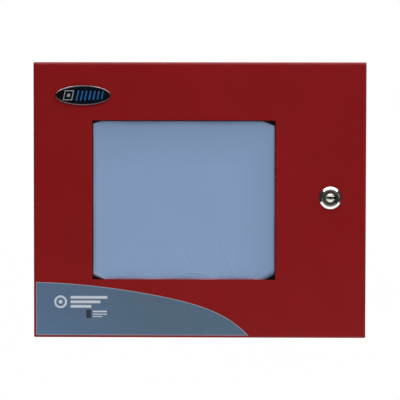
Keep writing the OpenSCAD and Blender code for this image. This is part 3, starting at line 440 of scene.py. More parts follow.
z = np.linspace(-film_half[2], film_half[2], 261)[:, None] + np.zeros((1, 301))
left, right = (film_half[0] - cut_back(z, side) for side in ("left", "right"))
x = -left + np.linspace(0, 1, 301)[None, :] * (left + right)
sheet = np.stack([x + film_middle[0], lens_front - film_rise(x, z), z + film_middle[2]], -1) * MM
film_finish = Finish("film plastic", specular_ior_level=0.4)
cloud = film_finish.noise(34, 3, 0.55)
pressed = film_finish.ramp(film_finish.noise(4.0, 3, 0.6, (1, 1, 1.6)), 0.5, 0.72)
x, y, z = film_finish.axes(shift=film_middle)
# Painted shade: the film's tone darkens towards its top and right side and at its left edge, standing for
# the shadow of the window's edges on the recessed film; lit_film is its unshaded tone and shaded its
# shaded copy.
lit_film = film_finish.mix(cloud, srgb(149, 177, 217), srgb(156, 183, 222))
shade = film_finish.ramp(z, 30, 78, 0, 0.6).most(film_finish.ramp(x, 50, 88, 0, 0.5))
shade = shade.most(film_finish.ramp(x, -86, -91, 0, 1.0))
shaded = film_finish.mix(shade, lit_film, srgb(136, 161, 198))
# Painted reflection: a pale pink line along the film's bottom edge, standing for light thrown off the
# window's red edge.
bottom_edge_reflection = film_finish.ramp(z, -76.8, -77.8, 0, 0.8)
film_tone = film_finish.mix(bottom_edge_reflection, shaded, srgb(226, 172, 196))
# Painted shade: the film darkens to near black towards its bottom-right cut corner, standing for the shade
# at that corner.
turned_up = film_finish.ramp((film_half[0] - x) * 0.5 + (z + film_half[2]) * 0.87, 9.5, 4.5, 0, 0.92)
film_tone = film_finish.mix(turned_up, film_tone, srgb(30, 36, 44))
# Painted light at the bottom-left cut corner: a pale line on the film is a painted highlight of its edge,
# and the purple-grey band beside the cut is painted shade.
bottom_left_reach = (film_half[0] + x) * 0.46 + (z + film_half[2]) * 0.89
cut_edge_highlight = film_finish.ramp(abs(bottom_left_reach - 6.6), 1.6, 0.6, 0, 0.5)
film_tone = film_finish.mix(cut_edge_highlight, film_tone, srgb(186, 196, 224))
film_finish.set("Base Color", film_finish.mix((bottom_left_reach < 5.6) * 0.85, film_tone, srgb(88, 82, 104)))
film_finish.rough(7, 3, 0.42, 0.55)
film_finish.relief(pressed * film_finish.ramp(film_finish.noise(30, 2), 0.5, 0.62) * 0.5
                   + film_finish.noise(9, 4) * 0.5, 0.10)
film = piece(grid_mesh("film_sheet", [(sheet, False, False)], 60), film_finish, "door",
             ["protective_film"])
film_wall = film.modifiers.new("thickness", "SOLIDIFY")
film_wall.thickness = 0.1 * MM
film_wall.offset = 0


# ---- Badge: an oval of black glass-clear resin in a thin polished rim, stuck to the door. It carries a
# plain square mark and a row of slanted blue bars.
badge_low, badge_high = corners("badge_bezel")
badge_middle = (badge_low + badge_high) / 2
badge_a, badge_b = (badge_high - badge_low)[[0, 2]] / 2
badge_front = badge_low[1]
badge_rear = badge_high[1]
badge_rim = 1.0


def oval_rings(insets, heights):
    """Rings of an ellipse, each drawn in by an inset and raised off the door by a height, in mm."""
    turn = np.linspace(0, 2 * math.pi, 128, endpoint=False)
    insets = np.array(insets, float)[:, None]
    x = badge_middle[0] + np.maximum(badge_a - insets, 0) * np.cos(turn)
    z = badge_middle[2] + np.maximum(badge_b - insets, 0) * np.sin(turn)
    y = badge_rear - np.array(heights, float)[:, None] + 0 * x
    return np.stack([x, y, z], -1) * MM


polished = Finish("badge rim", metallic=1.0)
rim_x, _, rim_z = polished.axes(shift=badge_middle)
# Painted dark reflection: the rim darkens over its lower half and across its middle, standing for dark
# surroundings seen in the polished metal.
rim_dark_reflection = polished.ramp(rim_z, 0.5, 4, 0.9, 0).most(polished.ramp(abs(rim_x - 2), 14, 6, 0, 0.75))
bright_rim = polished.mix(polished.noise(3, 3), (0.66, 0.62, 0.66, 1), (0.84, 0.79, 0.82, 1))
polished.set("Base Color", polished.mix(rim_dark_reflection, bright_rim, (0.14, 0.11, 0.12, 1)))
polished.rough(1.2, 3, 0.12, 0.22)
bead = np.linspace(0, math.pi, 13)
rim_height = badge_rear - badge_front
rim_rings = oval_rings([0, *(badge_rim * (0.5 - 0.5 * np.cos(bead))), badge_rim],
                       [0, *(0.5 + (rim_height - 0.5) * np.sin(bead)), 0])
piece(grid_mesh("badge_rim", [(rim_rings, True, True)], 50), polished, "door", ["badge_bezel"])

resin = Finish("badge resin", coat_weight=1.0, coat_roughness=0.03, specular_ior_level=0.5)
x, y, z = resin.axes(shift=badge_middle)
slant = x - z * 0.22
bars = (abs(((slant + 7.4) / 4.1).fraction() - 0.5) < 0.15) * (abs(slant - 7) < 14.3)
bars = bars * (abs(z + resin.ramp(slant, -6, 22, 0.4, -0.2)) < resin.ramp(slant, -6, 22, 5.2, 3.6))
lit_bars = resin.mix(resin.ramp(slant, -6, 20), srgb(40, 128, 196), srgb(34, 110, 178))
square_out = (abs(slant + 14.3) < 4.6) * (abs(z) < 4.9)
square_in = (abs(slant + 14.3) < 3.7) * (abs(z) < 4.0)
mark = (square_out - square_in + (abs(slant + 14.3) < 1.5) * (abs(z) < 1.5)).least(1.0)
glow = resin.ramp(abs(slant - 9), 6, 20, 1.0, 0.0)
ground = resin.mix(glow * 0.5, srgb(9, 10, 13), srgb(6, 20, 38))
tinted = resin.mix(bars * 0.95, ground, lit_bars)
resin.set("Base Color", resin.mix(mark * 0.9, tinted, srgb(168, 172, 186)))
resin.rough(6, 3, 0.08, 0.16)
dome_in = badge_rim - 0.2
dome_turn = np.linspace(0, math.pi / 2, 10)
dome_drop = badge_b - dome_in
dome_insets = dome_in + dome_drop * 0.35 * (1 - np.cos(dome_turn))
dome = oval_rings([dome_in, *dome_insets, badge_a, badge_a, dome_in],
                  [0.1, *(0.7 + 0.55 * np.sin(dome_turn)), 1.27, 0.1, 0.1])
piece(grid_mesh("badge_face", [(dome, True, False)], 40), resin, "door", ["badge_insert"])


# ---- Corner label: a printed polycarbonate sticker whose top edge falls like a low power of its length
# and then turns down like a high one. It has a pale keyline, a plain ring mark with bars, and scuffs.
label_low, label_high = corners("corner_label")
label_w, _, label_h = label_high - label_low
label_share = 0.635
label_slope = 1.7
label_bend = 8.8
sticker = Finish("label print", coat_weight=0.25, coat_roughness=0.3, specular_ior_level=0.4)
x, y, z = sticker.axes(shift=label_low)
along = (x / label_w).most(0.0).least(1.0)
top = label_h * (1 - label_share * along ** label_slope - (1 - label_share) * along ** label_bend)
slope = label_h / label_w * (label_share * label_slope * along ** (label_slope - 1)
                             + (1 - label_share) * label_bend * along ** (label_bend - 1))
inset = (top - z) / (1 + slope * slope) ** 0.5
keyline = ((inset < 0.75) + (x < 0.6) + (z < 0.6)).least(1.0)
blue_print = sticker.mix(sticker.ramp(x, 0, 120, 0, 1), srgb(97, 124, 155), srgb(92, 117, 141))
blue_print = sticker.mix(sticker.ramp(z, 0, 22, 0.45, 0) * sticker.ramp(x, 10, 90, 1, 0), blue_print,
                         srgb(91, 131, 175))
blue_print = sticker.mix(sticker.ramp(sticker.noise(16, 4), 0.35, 0.7, 0, 0.16), blue_print,
                         srgb(110, 131, 148))


def bar(x, z, left, right, middle, height):
    """1 inside a level bar of the label's print and 0 outside it."""
    return (x > left) * (x < right) * (abs(z - middle) < height / 2)


ring_x, ring_z = x - 24.4, z - 33.2
ring_r = (ring_x * ring_x + ring_z * ring_z) ** 0.5
printed = (ring_r < 6.4) - (ring_r < 4.3) + (ring_r < 2.0)
for right, middle in ((71.0, 37.7), (64.0, 33.2), (55.0, 28.7)):
    printed = printed + bar(x, z, 34.4, right, middle, 2.7)
for right, middle, height in ((70.5, 23.6, 1.5), (70.5, 20.9, 1.0), (66.0, 18.6, 0.9)):
    printed = printed + bar(x, z, 56.5, right, middle, height)
dark_square = bar(x, z, 50.0, 54.9, 21.2, 8.4)
scuff_x, scuff_z = x - 112, z - 34.5
scuffs = sticker.ramp((scuff_x * scuff_x * 0.06 + scuff_z * scuff_z) ** 0.5, 1.2, 3.2, 1, 0)
scuffs = scuffs * sticker.ramp(sticker.noise(3.2, 3), 0.52, 0.66)
inked = sticker.mix(dark_square * 0.85, blue_print, srgb(26, 34, 46))
inked = sticker.mix(printed.least(1.0) * 0.93, inked, srgb(226, 234, 244))
inked = sticker.mix(scuffs * 0.55, inked, srgb(140, 84, 96))
sticker.set("Base Color", sticker.mix(keyline * 0.75, inked, srgb(180, 178, 190)))
sticker.set("Roughness", sticker.ramp(sticker.noise(5, 4), 0.3, 0.7, 0.34, 0.48) + scuffs * 0.2)
sticker.relief(sticker.noise(0.8, 2), 0.015)
dress(sticker, "corner_label")


# ---- Cam lock: a nickelled zinc die casting. Its threaded barrel has two flats, and a hexagon nut
# behind the door holds it. The plug in it turns the cam and has a keyway and a bright raised middle.
plug_rear = corners("lock_plug")[1][1]
body_low, body_high = corners("lock_body")
lock_x = (body_low[0] + body_high[0]) / 2
lock_z = (body_low[2] + body_high[2]) / 2
lock_face = face_y / MM
lock_head_r = (body_high[0] - body_low[0]) / 2
lock_front = lock_face - body_low[1]
barrel_rear = body_high[1] - lock_face
barrel_r = 9.5
barrel_flat = 8.0
bore_r = 6.05
pocket_r = 7.4
pocket_floor = lock_front - 1.7
thread_pitch = 1.0


def turned(profile, flat=None, columns=96):
    """A profile of (radius, distance in front of the door), turned about the lock's own axis. Behind the
    door the barrel's height is held within its flats."""
    profile = np.array(profile, float)
    turn = np.linspace(0, 2 * math.pi, columns, endpoint=False)
    x = profile[:, :1] * np.cos(turn)
    z = profile[:, :1] * np.sin(turn)
    if flat:
        z = np.where(profile[:, 1:] < -0.01, np.clip(z, -flat, flat), z)
    return np.stack([lock_x + x, lock_face - profile[:, 1:] + 0 * x, lock_z + z], -1) * MM


def arc(middle, radius, first, last, steps=6):
    """Points (radius, distance) on an arc from angle first to last, in degrees."""
    turn = np.radians(np.linspace(first, last, steps))
    return list(zip(middle[0] + radius * np.cos(turn), middle[1] + radius * np.sin(turn)))


thread = np.linspace(-barrel_rear + 0.5, -0.3, int((barrel_rear - 0.8) / thread_pitch * 4))
thread_rows = list(zip(barrel_r - 0.22 - 0.22 * np.cos(2 * math.pi * thread / thread_pitch), thread))
lock_profile = [(bore_r, -barrel_rear), (barrel_r - 0.6, -barrel_rear), *thread_rows, (barrel_r, -0.02),
                (lock_head_r - 0.3, 0.0), *arc((lock_head_r - 0.3, 0.3), 0.3, -90, 0, 4),
                *arc((lock_head_r - 0.55, 1.0), 0.55, 0, 52, 5), *arc((8.45, 2.65), 0.55, 52, 90, 5),
                *arc((7.75, 2.85), 0.35, 90, 180, 5), (pocket_r, pocket_floor), (bore_r, pocket_floor)]
nickel = Finish("lock nickel", metallic=1.0)
x, y, z = nickel.axes(shift=(lock_x, 0, lock_z))
out = (x * x + z * z) ** 0.5
lathe = nickel.noise(0.35, 2, 0.5, (1, 1, 1))
rim_share = nickel.ramp(out, 7.3, 8.2)
nickel.set("Base Color", nickel.mix(rim_share, (0.42, 0.41, 0.39, 1), (0.80, 0.79, 0.78, 1)))
nickel.set("Roughness", nickel.ramp(lathe, 0.3, 0.7, 0.10, 0.2))
lock_grids = [(turned(lock_profile, barrel_flat), True, True)]
piece(grid_mesh("lock_head", lock_grids, 40), nickel, "door", ["lock_body"])

plug_disc_r = 7.35
plug_boss_r = 4.3
plug_disc_t = 0.15
plug_disc = pocket_floor + plug_disc_t
boss_tall = lock_front - plug_disc - 0.02
keyway_half = (4.65, 0.95)
keyway_shift = 0.95
keyway_depth = 2.4
plug_r = 6.0
cam_half = 3.5


def plug_face(x, z):
    """Distance of the plug's face in front of the door: a flat disc, a boss domed like 1 - (r / R)
    squared, and the keyway sunk behind them with a lozenge in its middle."""
    r = np.hypot(x, z)
    boss = boss_tall * np.clip(1 - (r / plug_boss_r) ** 2, 0, 1)
    inside = np.minimum(keyway_half[0] - np.abs(x - keyway_shift), keyway_half[1] - np.abs(z))
    inside = np.maximum(inside, 1.35 - 0.6 * np.abs(x) - np.abs(z))
    return plug_disc + boss - (keyway_depth + boss) * np.clip(inside / 0.12 + 0.5, 0, 1)


around = np.linspace(0, 2 * math.pi, 288, endpoint=False)[None, :]
out = np.concatenate([np.linspace(0, 1, 60), np.linspace(1, 1, 2)])[:, None] * plug_disc_r
x, z = out * np.cos(around), out * np.sin(around)
front = plug_face(x, z)
plug_clear = pocket_floor + 0.03
plug_rings = [(plug_disc_r, plug_clear), (plug_r, plug_clear), (plug_r, lock_face - plug_rear + 2.5)]
front_grid = np.stack([lock_x + x, lock_face - front, lock_z + z], -1)
back_grid = np.concatenate([front_grid[-1:] / 1.0, turned(plug_rings, columns=288) / MM])
square = np.maximum(np.abs(np.cos(around)), np.abs(np.sin(around)))
shank = np.stack([lock_x + cam_half * np.cos(around) / square, plug_rear - 2.5 + 0 * around,
                  lock_z + cam_half * np.sin(around) / square], -1)
shank_end = shank + np.array([0, 2.5, 0])
closed_end = shank_end * [0, 1, 0] + np.array([lock_x, 0, lock_z])
plug_grid = np.concatenate([front_grid, back_grid[1:], shank, shank_end, closed_end])
plug_finish = Finish("lock plug")
x, y, z = plug_finish.axes(shift=(lock_x, 0, lock_z))
out = (x * x + z * z) ** 0.5
boss = plug_finish.ramp(out, 4.15, 4.35, 1, 0)
turning = (out * 2.1).fraction()
keyway = (abs(x - keyway_shift) < keyway_half[0]) * (abs(z) < keyway_half[1])
keyway = keyway.most(abs(x) * 0.6 + abs(z) < 1.4)
dark_ring = plug_finish.mix(plug_finish.noise(2.5, 3), (0.15, 0.12, 0.09, 1), (0.24, 0.20, 0.16, 1))
plug_metal = plug_finish.mix(boss, dark_ring, (0.96, 0.94, 0.90, 1))
# Painted shade: the keyway and the lozenge in its middle are painted near black, standing for the shade
# inside the slot.
plug_finish.set("Base Color", plug_finish.mix(keyway * 0.97, plug_metal, (0.01, 0.01, 0.01, 1)))
plug_finish.set("Roughness", plug_finish.ramp(turning, 0, 1, 0.34, 0.46) - boss * 0.16 + keyway * 0.5)
plug_finish.set("Metallic", 1.0 - boss * 0.55)
plug_finish.relief(turning, 0.03)
piece(grid_mesh("lock_key_plug", [(plug_grid * MM, True, False)], 40), plug_finish, "lock",
      ["lock_plug"])


# ---- Display unit: a printed black overlay on a steel panel. It frames the display, the lamps and the
# keys with thin lines, and plain bars stand where each lamp and button would be named.
def moulded(name, shade, roughness, grain=0.4, level=0.45):
    """Moulded plastic: a slight drift of tone, and the fine sparked texture of its mould."""
    plastic = Finish(name, specular_ior_level=level)
    dark, light = [0.88 * c for c in shade], [min(255, 1.08 * c + 2) for c in shade]
    plastic.set("Base Color", plastic.tones(8, 3, dark, light))
    plastic.rough(2.2, 3, roughness - 0.06, roughness + 0.06)
    plastic.relief(plastic.noise(grain, 1), 0.02)
    return plastic


def outline(x, z, middle, half, width):
    """1 on the line of a rectangle drawn about middle, and 0 elsewhere."""
    out_x, out_z = abs(x - middle[0]), abs(z - middle[1])
    whole = (out_x < half[0]) * (out_z < half[1])
    return whole - (out_x < half[0] - width) * (out_z < half[1] - width)


display_low, display_high = corners("display_panel")
window_x, window_z = ((display_low + display_high) / 2)[[0, 2]]
lamp_x, lamp_top, lamp_pitch, lamp_rows = 62, 68, 9, 8
button_first, button_pitch, button_z = -71, 34, -10
overlay = Finish("panel overlay", specular_ior_level=0.4)
x, y, z = overlay.axes(shift=(window_x, 0, window_z))
row = (lamp_top + lamp_pitch / 2 - z) / lamp_pitch
bar_length = 13 + 15 * (row.whole() * 0.37).fraction()
lamp_bars = (abs(row.fraction() - 0.5) < 0.1) * (x > lamp_x + 5) * (x < lamp_x + 5 + bar_length)
lamp_bars = lamp_bars * (abs(row - lamp_rows / 2) < lamp_rows / 2)
column = (x - button_first) / button_pitch + 0.5
button_bars = (abs(column.fraction() - 0.5) < 0.19) * (abs(column - 2) < 2)
button_bars = button_bars * (abs(z - button_z - 11) < 0.8)
lines = outline(x, z, (0, 0), (98.5, 84.5), 0.6) + outline(x, z, (-20, 46), (62.5, 25.5), 0.5)
lines = lines + outline(x, z, (75, 36.5), (19.5, 38), 0.5) + outline(x, z, (-4, -46), (31, 26), 0.5)
band = (abs(z - 79) < 2.4) * (abs(x) < 96)
ground = overlay.tones(30, 3, (30, 33, 38), (37, 40, 46))
pale_ink = (lines + lamp_bars + button_bars).least(1.0) * 0.85
printed_panel = overlay.mix(pale_ink, ground, srgb(176, 180, 186))
overlay.set("Base Color", overlay.mix(band * 0.9, printed_panel, srgb(150, 30, 36)))
overlay.rough(4, 4, 0.36, 0.5)
overlay.relief(overlay.noise(0.7, 2), 0.03)
dress(overlay, "display_panel")
dress(moulded("display frame", (38, 40, 43), 0.5), "lcd_bezel")
dress(moulded("black moulding", (26, 27, 29), 0.42), "sounder", "button_switches", "plug_sockets")

# The display's glass: rows of blank character cells, each a block of faint dots.
glass_low, glass_high = corners("lcd_glass")
cell_w, cell_h, dot_w, dot_h = 5.2, 8.6, 0.88, 0.97
cells_half = (52, 17.2)
glass = Finish("display glass", coat_weight=1.0, coat_roughness=0.02)
x, y, z = glass.axes(shift=(glass_low + glass_high) / 2)
in_x = ((x + cells_half[0]) / cell_w).fraction() * cell_w
in_z = ((z + cells_half[1]) / cell_h).fraction() * cell_h
dots = (abs((in_x / dot_w).fraction() - 0.5) < 0.42) * (abs((in_z / dot_h).fraction() - 0.5) < 0.42)
dots = dots * (abs(in_x - cell_w / 2) < 2.2) * (abs(in_z - cell_h / 2) < 3.4)
dots = dots * (abs(x) < cells_half[0]) * (abs(z) < cells_half[1])
tint = glass.tones(25, 2, (94, 106, 66), (104, 117, 74))
glass.set("Base Color", glass.mix(dots * 0.35, tint, srgb(66, 76, 46)))
glass.rough(5, 3, 0.25, 0.35)
dress(glass, "lcd_glass")


# ---- Lamps: round light-emitting diodes in clear coloured resin. The two red ones and the yellow ones
# are dark, and the green one shows that the supply is on.
def lamp(name, shade, glow):
    """Coloured clear resin with a wet shine, and a glow of its own."""
    resin_lamp = Finish(name, coat_weight=0.8, coat_roughness=0.04, emission_strength=glow)
    body = resin_lamp.tones(1.5, 2, [0.8 * c for c in shade], shade)
    resin_lamp.set("Base Color", body)
    resin_lamp.set("Emission Color", body)
    resin_lamp.rough(0.8, 2, 0.16, 0.26)
    return resin_lamp


dress(lamp("red lamp", (168, 22, 20), 0.05), "leds_red")
dress(lamp("yellow lamp", (214, 158, 26), 0.05), "leds_yellow")
dress(lamp("green lamp", (60, 214, 76), 0.9), "leds_green")


# ---- Buttons and keys: moulded caps with soft edges and a shallow dish, each over its own switch. A
# flange behind the panel keeps it in, and a plain sign is printed in its dish.
def rounded_rings(middle, axis, levels, steps=5):
    """Rectangles with round corners, square to an axis. Each level is (half width, half height, corner
    radius, place along the axis), in mm, and a level of no size closes the end."""
    middle, levels = np.array(middle, float), np.array(levels, float)
    bend = np.minimum(levels[:, 2], levels[:, :2].min(1))[:, None, None]
    turn = np.concatenate([np.linspace(0, 90, steps) + 90 * quarter for quarter in range(4)])
    circle = np.stack([np.cos(np.radians(turn)), np.sin(np.radians(turn))], -1)
    signs = np.repeat([[1, 1], [-1, 1], [-1, -1], [1, -1]], steps, axis=0)
    sides = [k for k in range(3) if k != axis]
    grid = np.empty((len(levels), len(turn), 3))
    grid[..., sides] = middle[sides] + signs * (levels[:, None, :2] - bend) + bend * circle
    grid[..., axis] = levels[:, None, 3]
    return grid * MM


def soft_block(low, high, axis, corner, edge, steps=4):
    """A block with round corners about one axis. Towards each end it is drawn in by edge x (1 - sin a)
    while it rises by edge x (1 - cos a), which rounds the edges."""
    low, high = np.array(low, float), np.array(high, float)
    half = np.delete((high - low) / 2, axis)
    turn = np.linspace(0, math.pi / 2, steps)
    inset, rise = edge * (1 - np.sin(turn)), edge * (1 - np.cos(turn))
    bends = np.maximum(corner - inset, 0.05)
    first = np.stack([half[0] - inset, half[1] - inset, bends, low[axis] + rise], 1)
    last = first[::-1].copy()
    last[:, 3] = high[axis] - rise[::-1]
    ends = np.array([[0, 0, 0, low[axis]], [0, 0, 0, high[axis]]])
    return rounded_rings((low + high) / 2, axis, np.concatenate([ends[:1], first, last, ends[1:]]))


signs = {
    "ack_button": lambda x, z, out: out < 2.9,
    "silence_button": lambda x, z, out: (abs(abs(x) - 1.7) < 0.8) * (abs(z) < 2.9),
    "reset_button": lambda x, z, out: (out < 3.2) - (out < 2.2),
    "drill_button": lambda x, z, out: outline(x, z, (0, 0), (3.4, 2.6), 0.9),
    "up_key": lambda x, z, out: (z > -1.9) * (abs(x) * 1.3 + z < 2.3),
    "down_key": lambda x, z, out: (z < 1.9) * (abs(x) * 1.3 - z < 2.3),
    "enter_key": lambda x, z, out: (abs(x) < 2.1) * (abs(z) < 2.1),
}
key_looks = [("key_grey", (182, 184, 183), (202, 204, 202), srgb(44, 47, 52)),
             ("key_red", (142, 27, 29), (156, 33, 35), srgb(226, 224, 220))]
flange_out = 1.2
flange_y = (-80.85, -79.85)
cap_edge = 0.7
for name, sign in signs.items():
    low, high = corners(name)
    middle = (low + high) / 2
    half_w, half_h = (high - low)[[0, 2]] / 2 - flange_out
    turn = np.linspace(math.pi / 2, 0, 5)
    edge_levels = [(half_w - cap_edge * (1 - math.sin(a)), half_h - cap_edge * (1 - math.sin(a)), 1.6,
                    low[1] + cap_edge * (1 - math.cos(a))) for a in turn]
    flat_w, flat_h = half_w - cap_edge, half_h - cap_edge
    dish = [(flat_w - 0.9, flat_h - 0.9, 1.2, low[1] + 0.02),
            (flat_w - 2.4, flat_h - 2.4, 0.8, low[1] + 0.28), (0, 0, 0, low[1] + 0.34)]
    rear = [(0, 0, 0, high[1]), (half_w, half_h, 1.6, high[1])]
    cap = rounded_rings(middle, 1, rear + edge_levels + dish)
    flange = soft_block([low[0], flange_y[0], low[2]], [high[0], flange_y[1], high[2]], 1, 2.2, 0.2)
    slot, dark, light, ink = key_looks[name == "drill_button"]
    key = moulded(name + " cap", dark, 0.45)
    x, y, z = key.axes(shift=middle)
    out = (x * x + z * z) ** 0.5
    plain = key.tones(8, 3, dark, light)
    key.set("Base Color", key.mix(sign(x, z, out) * (y < low[1] + 0.6 - middle[1]) * 0.95, plain, ink))
    piece(grid_mesh(name + "_cap", [(cap, True, False), (flange, True, False)], 40), key, name, [name])


# ---- Ribbon cable: twenty stranded wires side by side in one ridged grey skin, with a red edge wire. It
# runs from the main board to the display board in an S: height = z0 + dz x (t - sin(2 pi t) / 2 pi).
ribbon_low, ribbon_high = corners("ribbon_cable")
ribbon_skin = 0.55
ribbon_wires = 20
t = np.linspace(0, 1, 57)
run_y = ribbon_high[1] + t * (ribbon_low[1] - ribbon_high[1])
climb = ribbon_high[2] - ribbon_low[2] - 2 * ribbon_skin
run_z = ribbon_low[2] + ribbon_skin + climb * (t - np.sin(2 * math.pi * t) / (2 * math.pi))
along = np.stack([np.gradient(run_y), np.gradient(run_z)], -1)
along /= np.linalg.norm(along, axis=1)[:, None]
across = np.linspace(0, 1, ribbon_wires * 6 + 1)
ridge = 0.2 + 0.26 * np.abs(np.sin(math.pi * ribbon_wires * across))
loop_x = ribbon_low[0] + (ribbon_high[0] - ribbon_low[0]) * np.concatenate([across, across[::-1]])
loop_out = np.concatenate([ridge, -ridge[::-1]]) * np.ones((len(t), 1))
loop_out[[0, -1]] = 0
ribbon_grid = np.stack([loop_x + 0 * loop_out, run_y[:, None] - along[:, 1:] * loop_out,
                        run_z[:, None] + along[:, :1] * loop_out], -1) * MM
grey_vinyl = Finish("ribbon skin", specular_ior_level=0.4)
x, y, z = grey_vinyl.axes(shift=ribbon_low)
plain_skin = grey_vinyl.tones(9, 3, (132, 137, 143), (150, 154, 159))
grey_vinyl.set("Base Color", grey_vinyl.mix((x < 1.3) * 0.9, plain_skin, srgb(160, 34, 34)))
grey_vinyl.rough(3, 2, 0.42, 0.55)
piece(grid_mesh("ribbon", [(ribbon_grid, True, False)], 60), grey_vinyl, "cabinet",
      ["ribbon_cable"])


# ---- Circuit boards: glass-fibre sheets under green solder mask. Copper tracks show through it as paler
# bundles of lines on a grid, and tinned holes join the two sides.
def board(name):
    """Tracks on a 1.27 mm grid where a stretched noise is high, and a tinned hole in some 2.54 mm cells,
    chosen by the fraction of a large sine of the cell's two numbers."""
    mask = Finish(name, coat_weight=0.35, coat_roughness=0.15)
    x, y, z = mask.axes()
    level = (abs((z / 1.27).fraction() - 0.5) < 0.17) * (mask.noise(13, 1, 0.5, (0.2, 1, 1)) > 0.53)
    upright = (abs((x / 1.27).fraction() - 0.5) < 0.17) * (mask.noise(13, 1, 0.5, (1, 1, 0.2)) > 0.55)
    cell = (x / 2.54).whole() * 12.9898 + (z / 2.54).whole() * 78.233
    chance = (cell.maths("SINE", cell) * 4375.85).fraction()
    hole_x, hole_z = ((x / 2.54).fraction() - 0.5) * 2.54, ((z / 2.54).fraction() - 0.5) * 2.54
    hole_r = (hole_x * hole_x + hole_z * hole_z) ** 0.5
    tinned = ((hole_r < 0.72) - (hole_r < 0.32)) * (chance > 0.9)
    green = mask.tones(30, 3, (13, 62, 36), (18, 74, 42))
    tracks = mask.mix(level.most(upright) * 0.7, green, srgb(38, 108, 62))
    mask.set("Base Color", mask.mix(tinned, tracks, srgb(196, 194, 184)))
    mask.set("Metallic", tinned * 0.9)
    mask.rough(5, 3, 0.3, 0.42)
    mask.relief(level.most(upright).most(tinned), 0.04)
    return mask


dress(board("main board mask"), "main_board")
dress(board("display board mask"), "display_board")


# ---- Chips: black moulded bodies with soft edges, and tinned legs that step down to the board. The big
# square one has legs on all four sides and the others on two.
main_low, main_high = corners("main_board")
main_x, main_z = ((main_low + main_high) / 2)[[0, 2]]
main_front = main_low[1]
chips = np.array([[-70, -20, 22, 22], [-32, -24, 14, 20], [-70, 14, 10, 18], [-50, 14, 10, 18],
                  [4, 6, 16, 9], [60, -6, 18, 8], [60, 10, 18, 8], [-4, -52, 12, 9]], float)
chip_tall = 2.4
leg_pitch = 1.27


def boxes(name, middles, sizes):
    """One mesh of many small boxes, from their middles and full sizes in mm, as arrays of xyz rows."""
    corner = np.array([[a, b, c] for a in (-0.5, 0.5) for b in (-0.5, 0.5) for c in (-0.5, 0.5)])
    sides = np.array([[0, 1, 3, 2], [4, 6, 7, 5], [0, 4, 5, 1], [2, 3, 7, 6], [0, 2, 6, 4], [1, 5, 7, 3]])
    points = np.array(middles, float)[:, None] + corner * np.array(sizes, float)[:, None]
    faces = sides + 8 * np.arange(len(middles))[:, None, None]
    mesh = bpy.data.meshes.new(name)
    mesh.from_pydata((points.reshape(-1, 3) * MM).tolist(), [], faces.reshape(-1, 4).tolist())
    return mesh


def leg_places(chip):
    """Where one chip's legs stand on its sides, as rows of (x, z, outward x, outward z)."""
    x, z, w, h = chip
    rows = []
    for side in (-1, 1):
        count = int(h / leg_pitch) - 1
        up = z + (np.arange(count) - (count - 1) / 2) * leg_pitch
        rows.append(np.stack([x + side * w / 2 + 0 * up, up, side + 0 * up, 0 * up], 1))
        if w == h:
            rows.append(rows[-1][:, [1, 0, 3, 2]] + [x - z, z - x, 0, 0])
    return np.concatenate(rows)


legs = np.concatenate([leg_places(chip) for chip in chips])
outward, sideways = legs[:, 2:], np.abs(legs[:, 3:1:-1])
at = legs[:, :2] + [main_x, main_z]


def leg_part(reach, long, lift, thick):
    """Middles and sizes of one part of every leg: reach is how far out its middle stands from the chip,
    long its length outwards, lift its middle's height over the board, and thick its height."""
    middle, size = at + reach * outward, long * abs(outward) + 0.45 * sideways
    still = 0 * at[:, 0]
    return (np.stack([middle[:, 0], still + main_front - lift, middle[:, 1]], 1),
            np.stack([size[:, 0], still + thick, size[:, 1]], 1))


parts = [leg_part(0.35, 0.7, 0.75, 1.3), leg_part(0.95, 0.9, 0.1, 0.2)]
tinned_legs = plated("tinned legs", 0.66, 0.34)
piece(boxes("chip_legs", *(np.concatenate(rows) for rows in zip(*parts))), tinned_legs, "cabinet")
chip_grids = [(soft_block((main_x + x - w / 2, main_front - chip_tall, main_z + z - h / 2),
                          (main_x + x + w / 2, main_front, main_z + z + h / 2), 1, 0.4, 0.3), True, False)
              for x, z, w, h in chips]
chip_resin = moulded("chip moulding", (30, 30, 32), 0.5, 0.25)
piece(grid_mesh("chip_bodies", chip_grids, 40), chip_resin, "cabinet", ["board_chips"])


# ---- Small board parts: chip resistors and ceramic capacitors in rows beside the larger parts, each a
# small block between two tinned ends. They keep clear of everything else on the board, each of which is
# kept as (middle x, middle z, half width, half height).
draw = np.random.default_rng(31)
relay_xs, fuse_xs, capacitor_xs = (-82, -58, -34, -10, 14), (44, 60, 76), (30, 44, 58, 72)
heatsink, terminal_row = (-64, -60, 27, 12), (0, 70, 98, 8.5)
ribbon_socket, supply_plug = (20, -53, 18, 6), (47, -69, 9, 7)
kept = [(*chip[:2], chip[2] / 2 + 3, chip[3] / 2 + 3) for chip in chips]
kept += [(x, 50, 10.5, 8.5) for x in relay_xs] + [(x, 47, 4.5, 11.5) for x in fuse_xs]
kept += [(x, -40, 7, 7) for x in capacitor_xs] + [heatsink, terminal_row, ribbon_socket, supply_plug]
kept += [(x, z, 5, 5) for x in (-94, 0, 94) for z in (-79, 79)]
kept = np.array(kept, float)
grid_x, grid_z = np.meshgrid(np.arange(-92, 93, 4.2), np.arange(-77, 60, 3.4))
spots = np.stack([grid_x.ravel(), grid_z.ravel()], 1)
clear = (np.abs(spots[:, None] - kept[:, :2]) > kept[:, 2:]).any(-1).all(-1)
spots = spots[clear & (draw.random(len(spots)) < 0.42)]
turned_up = draw.random(len(spots)) < 0.4
ceramic = draw.random(len(spots)) < 0.35
spot_at = np.stack([main_x + spots[:, 0], 0 * spots[:, 0] + main_front - 0.35, main_z + spots[:, 1]], 1)
long_way = np.where(turned_up[:, None], [0, 0, 1.0], [1.0, 0, 0])
wide_way = np.where(turned_up[:, None], [1.0, 0, 0], [0, 0, 1.0])
chip_body = 1.5 * long_way + 1.2 * wide_way + [0, 0.6, 0]
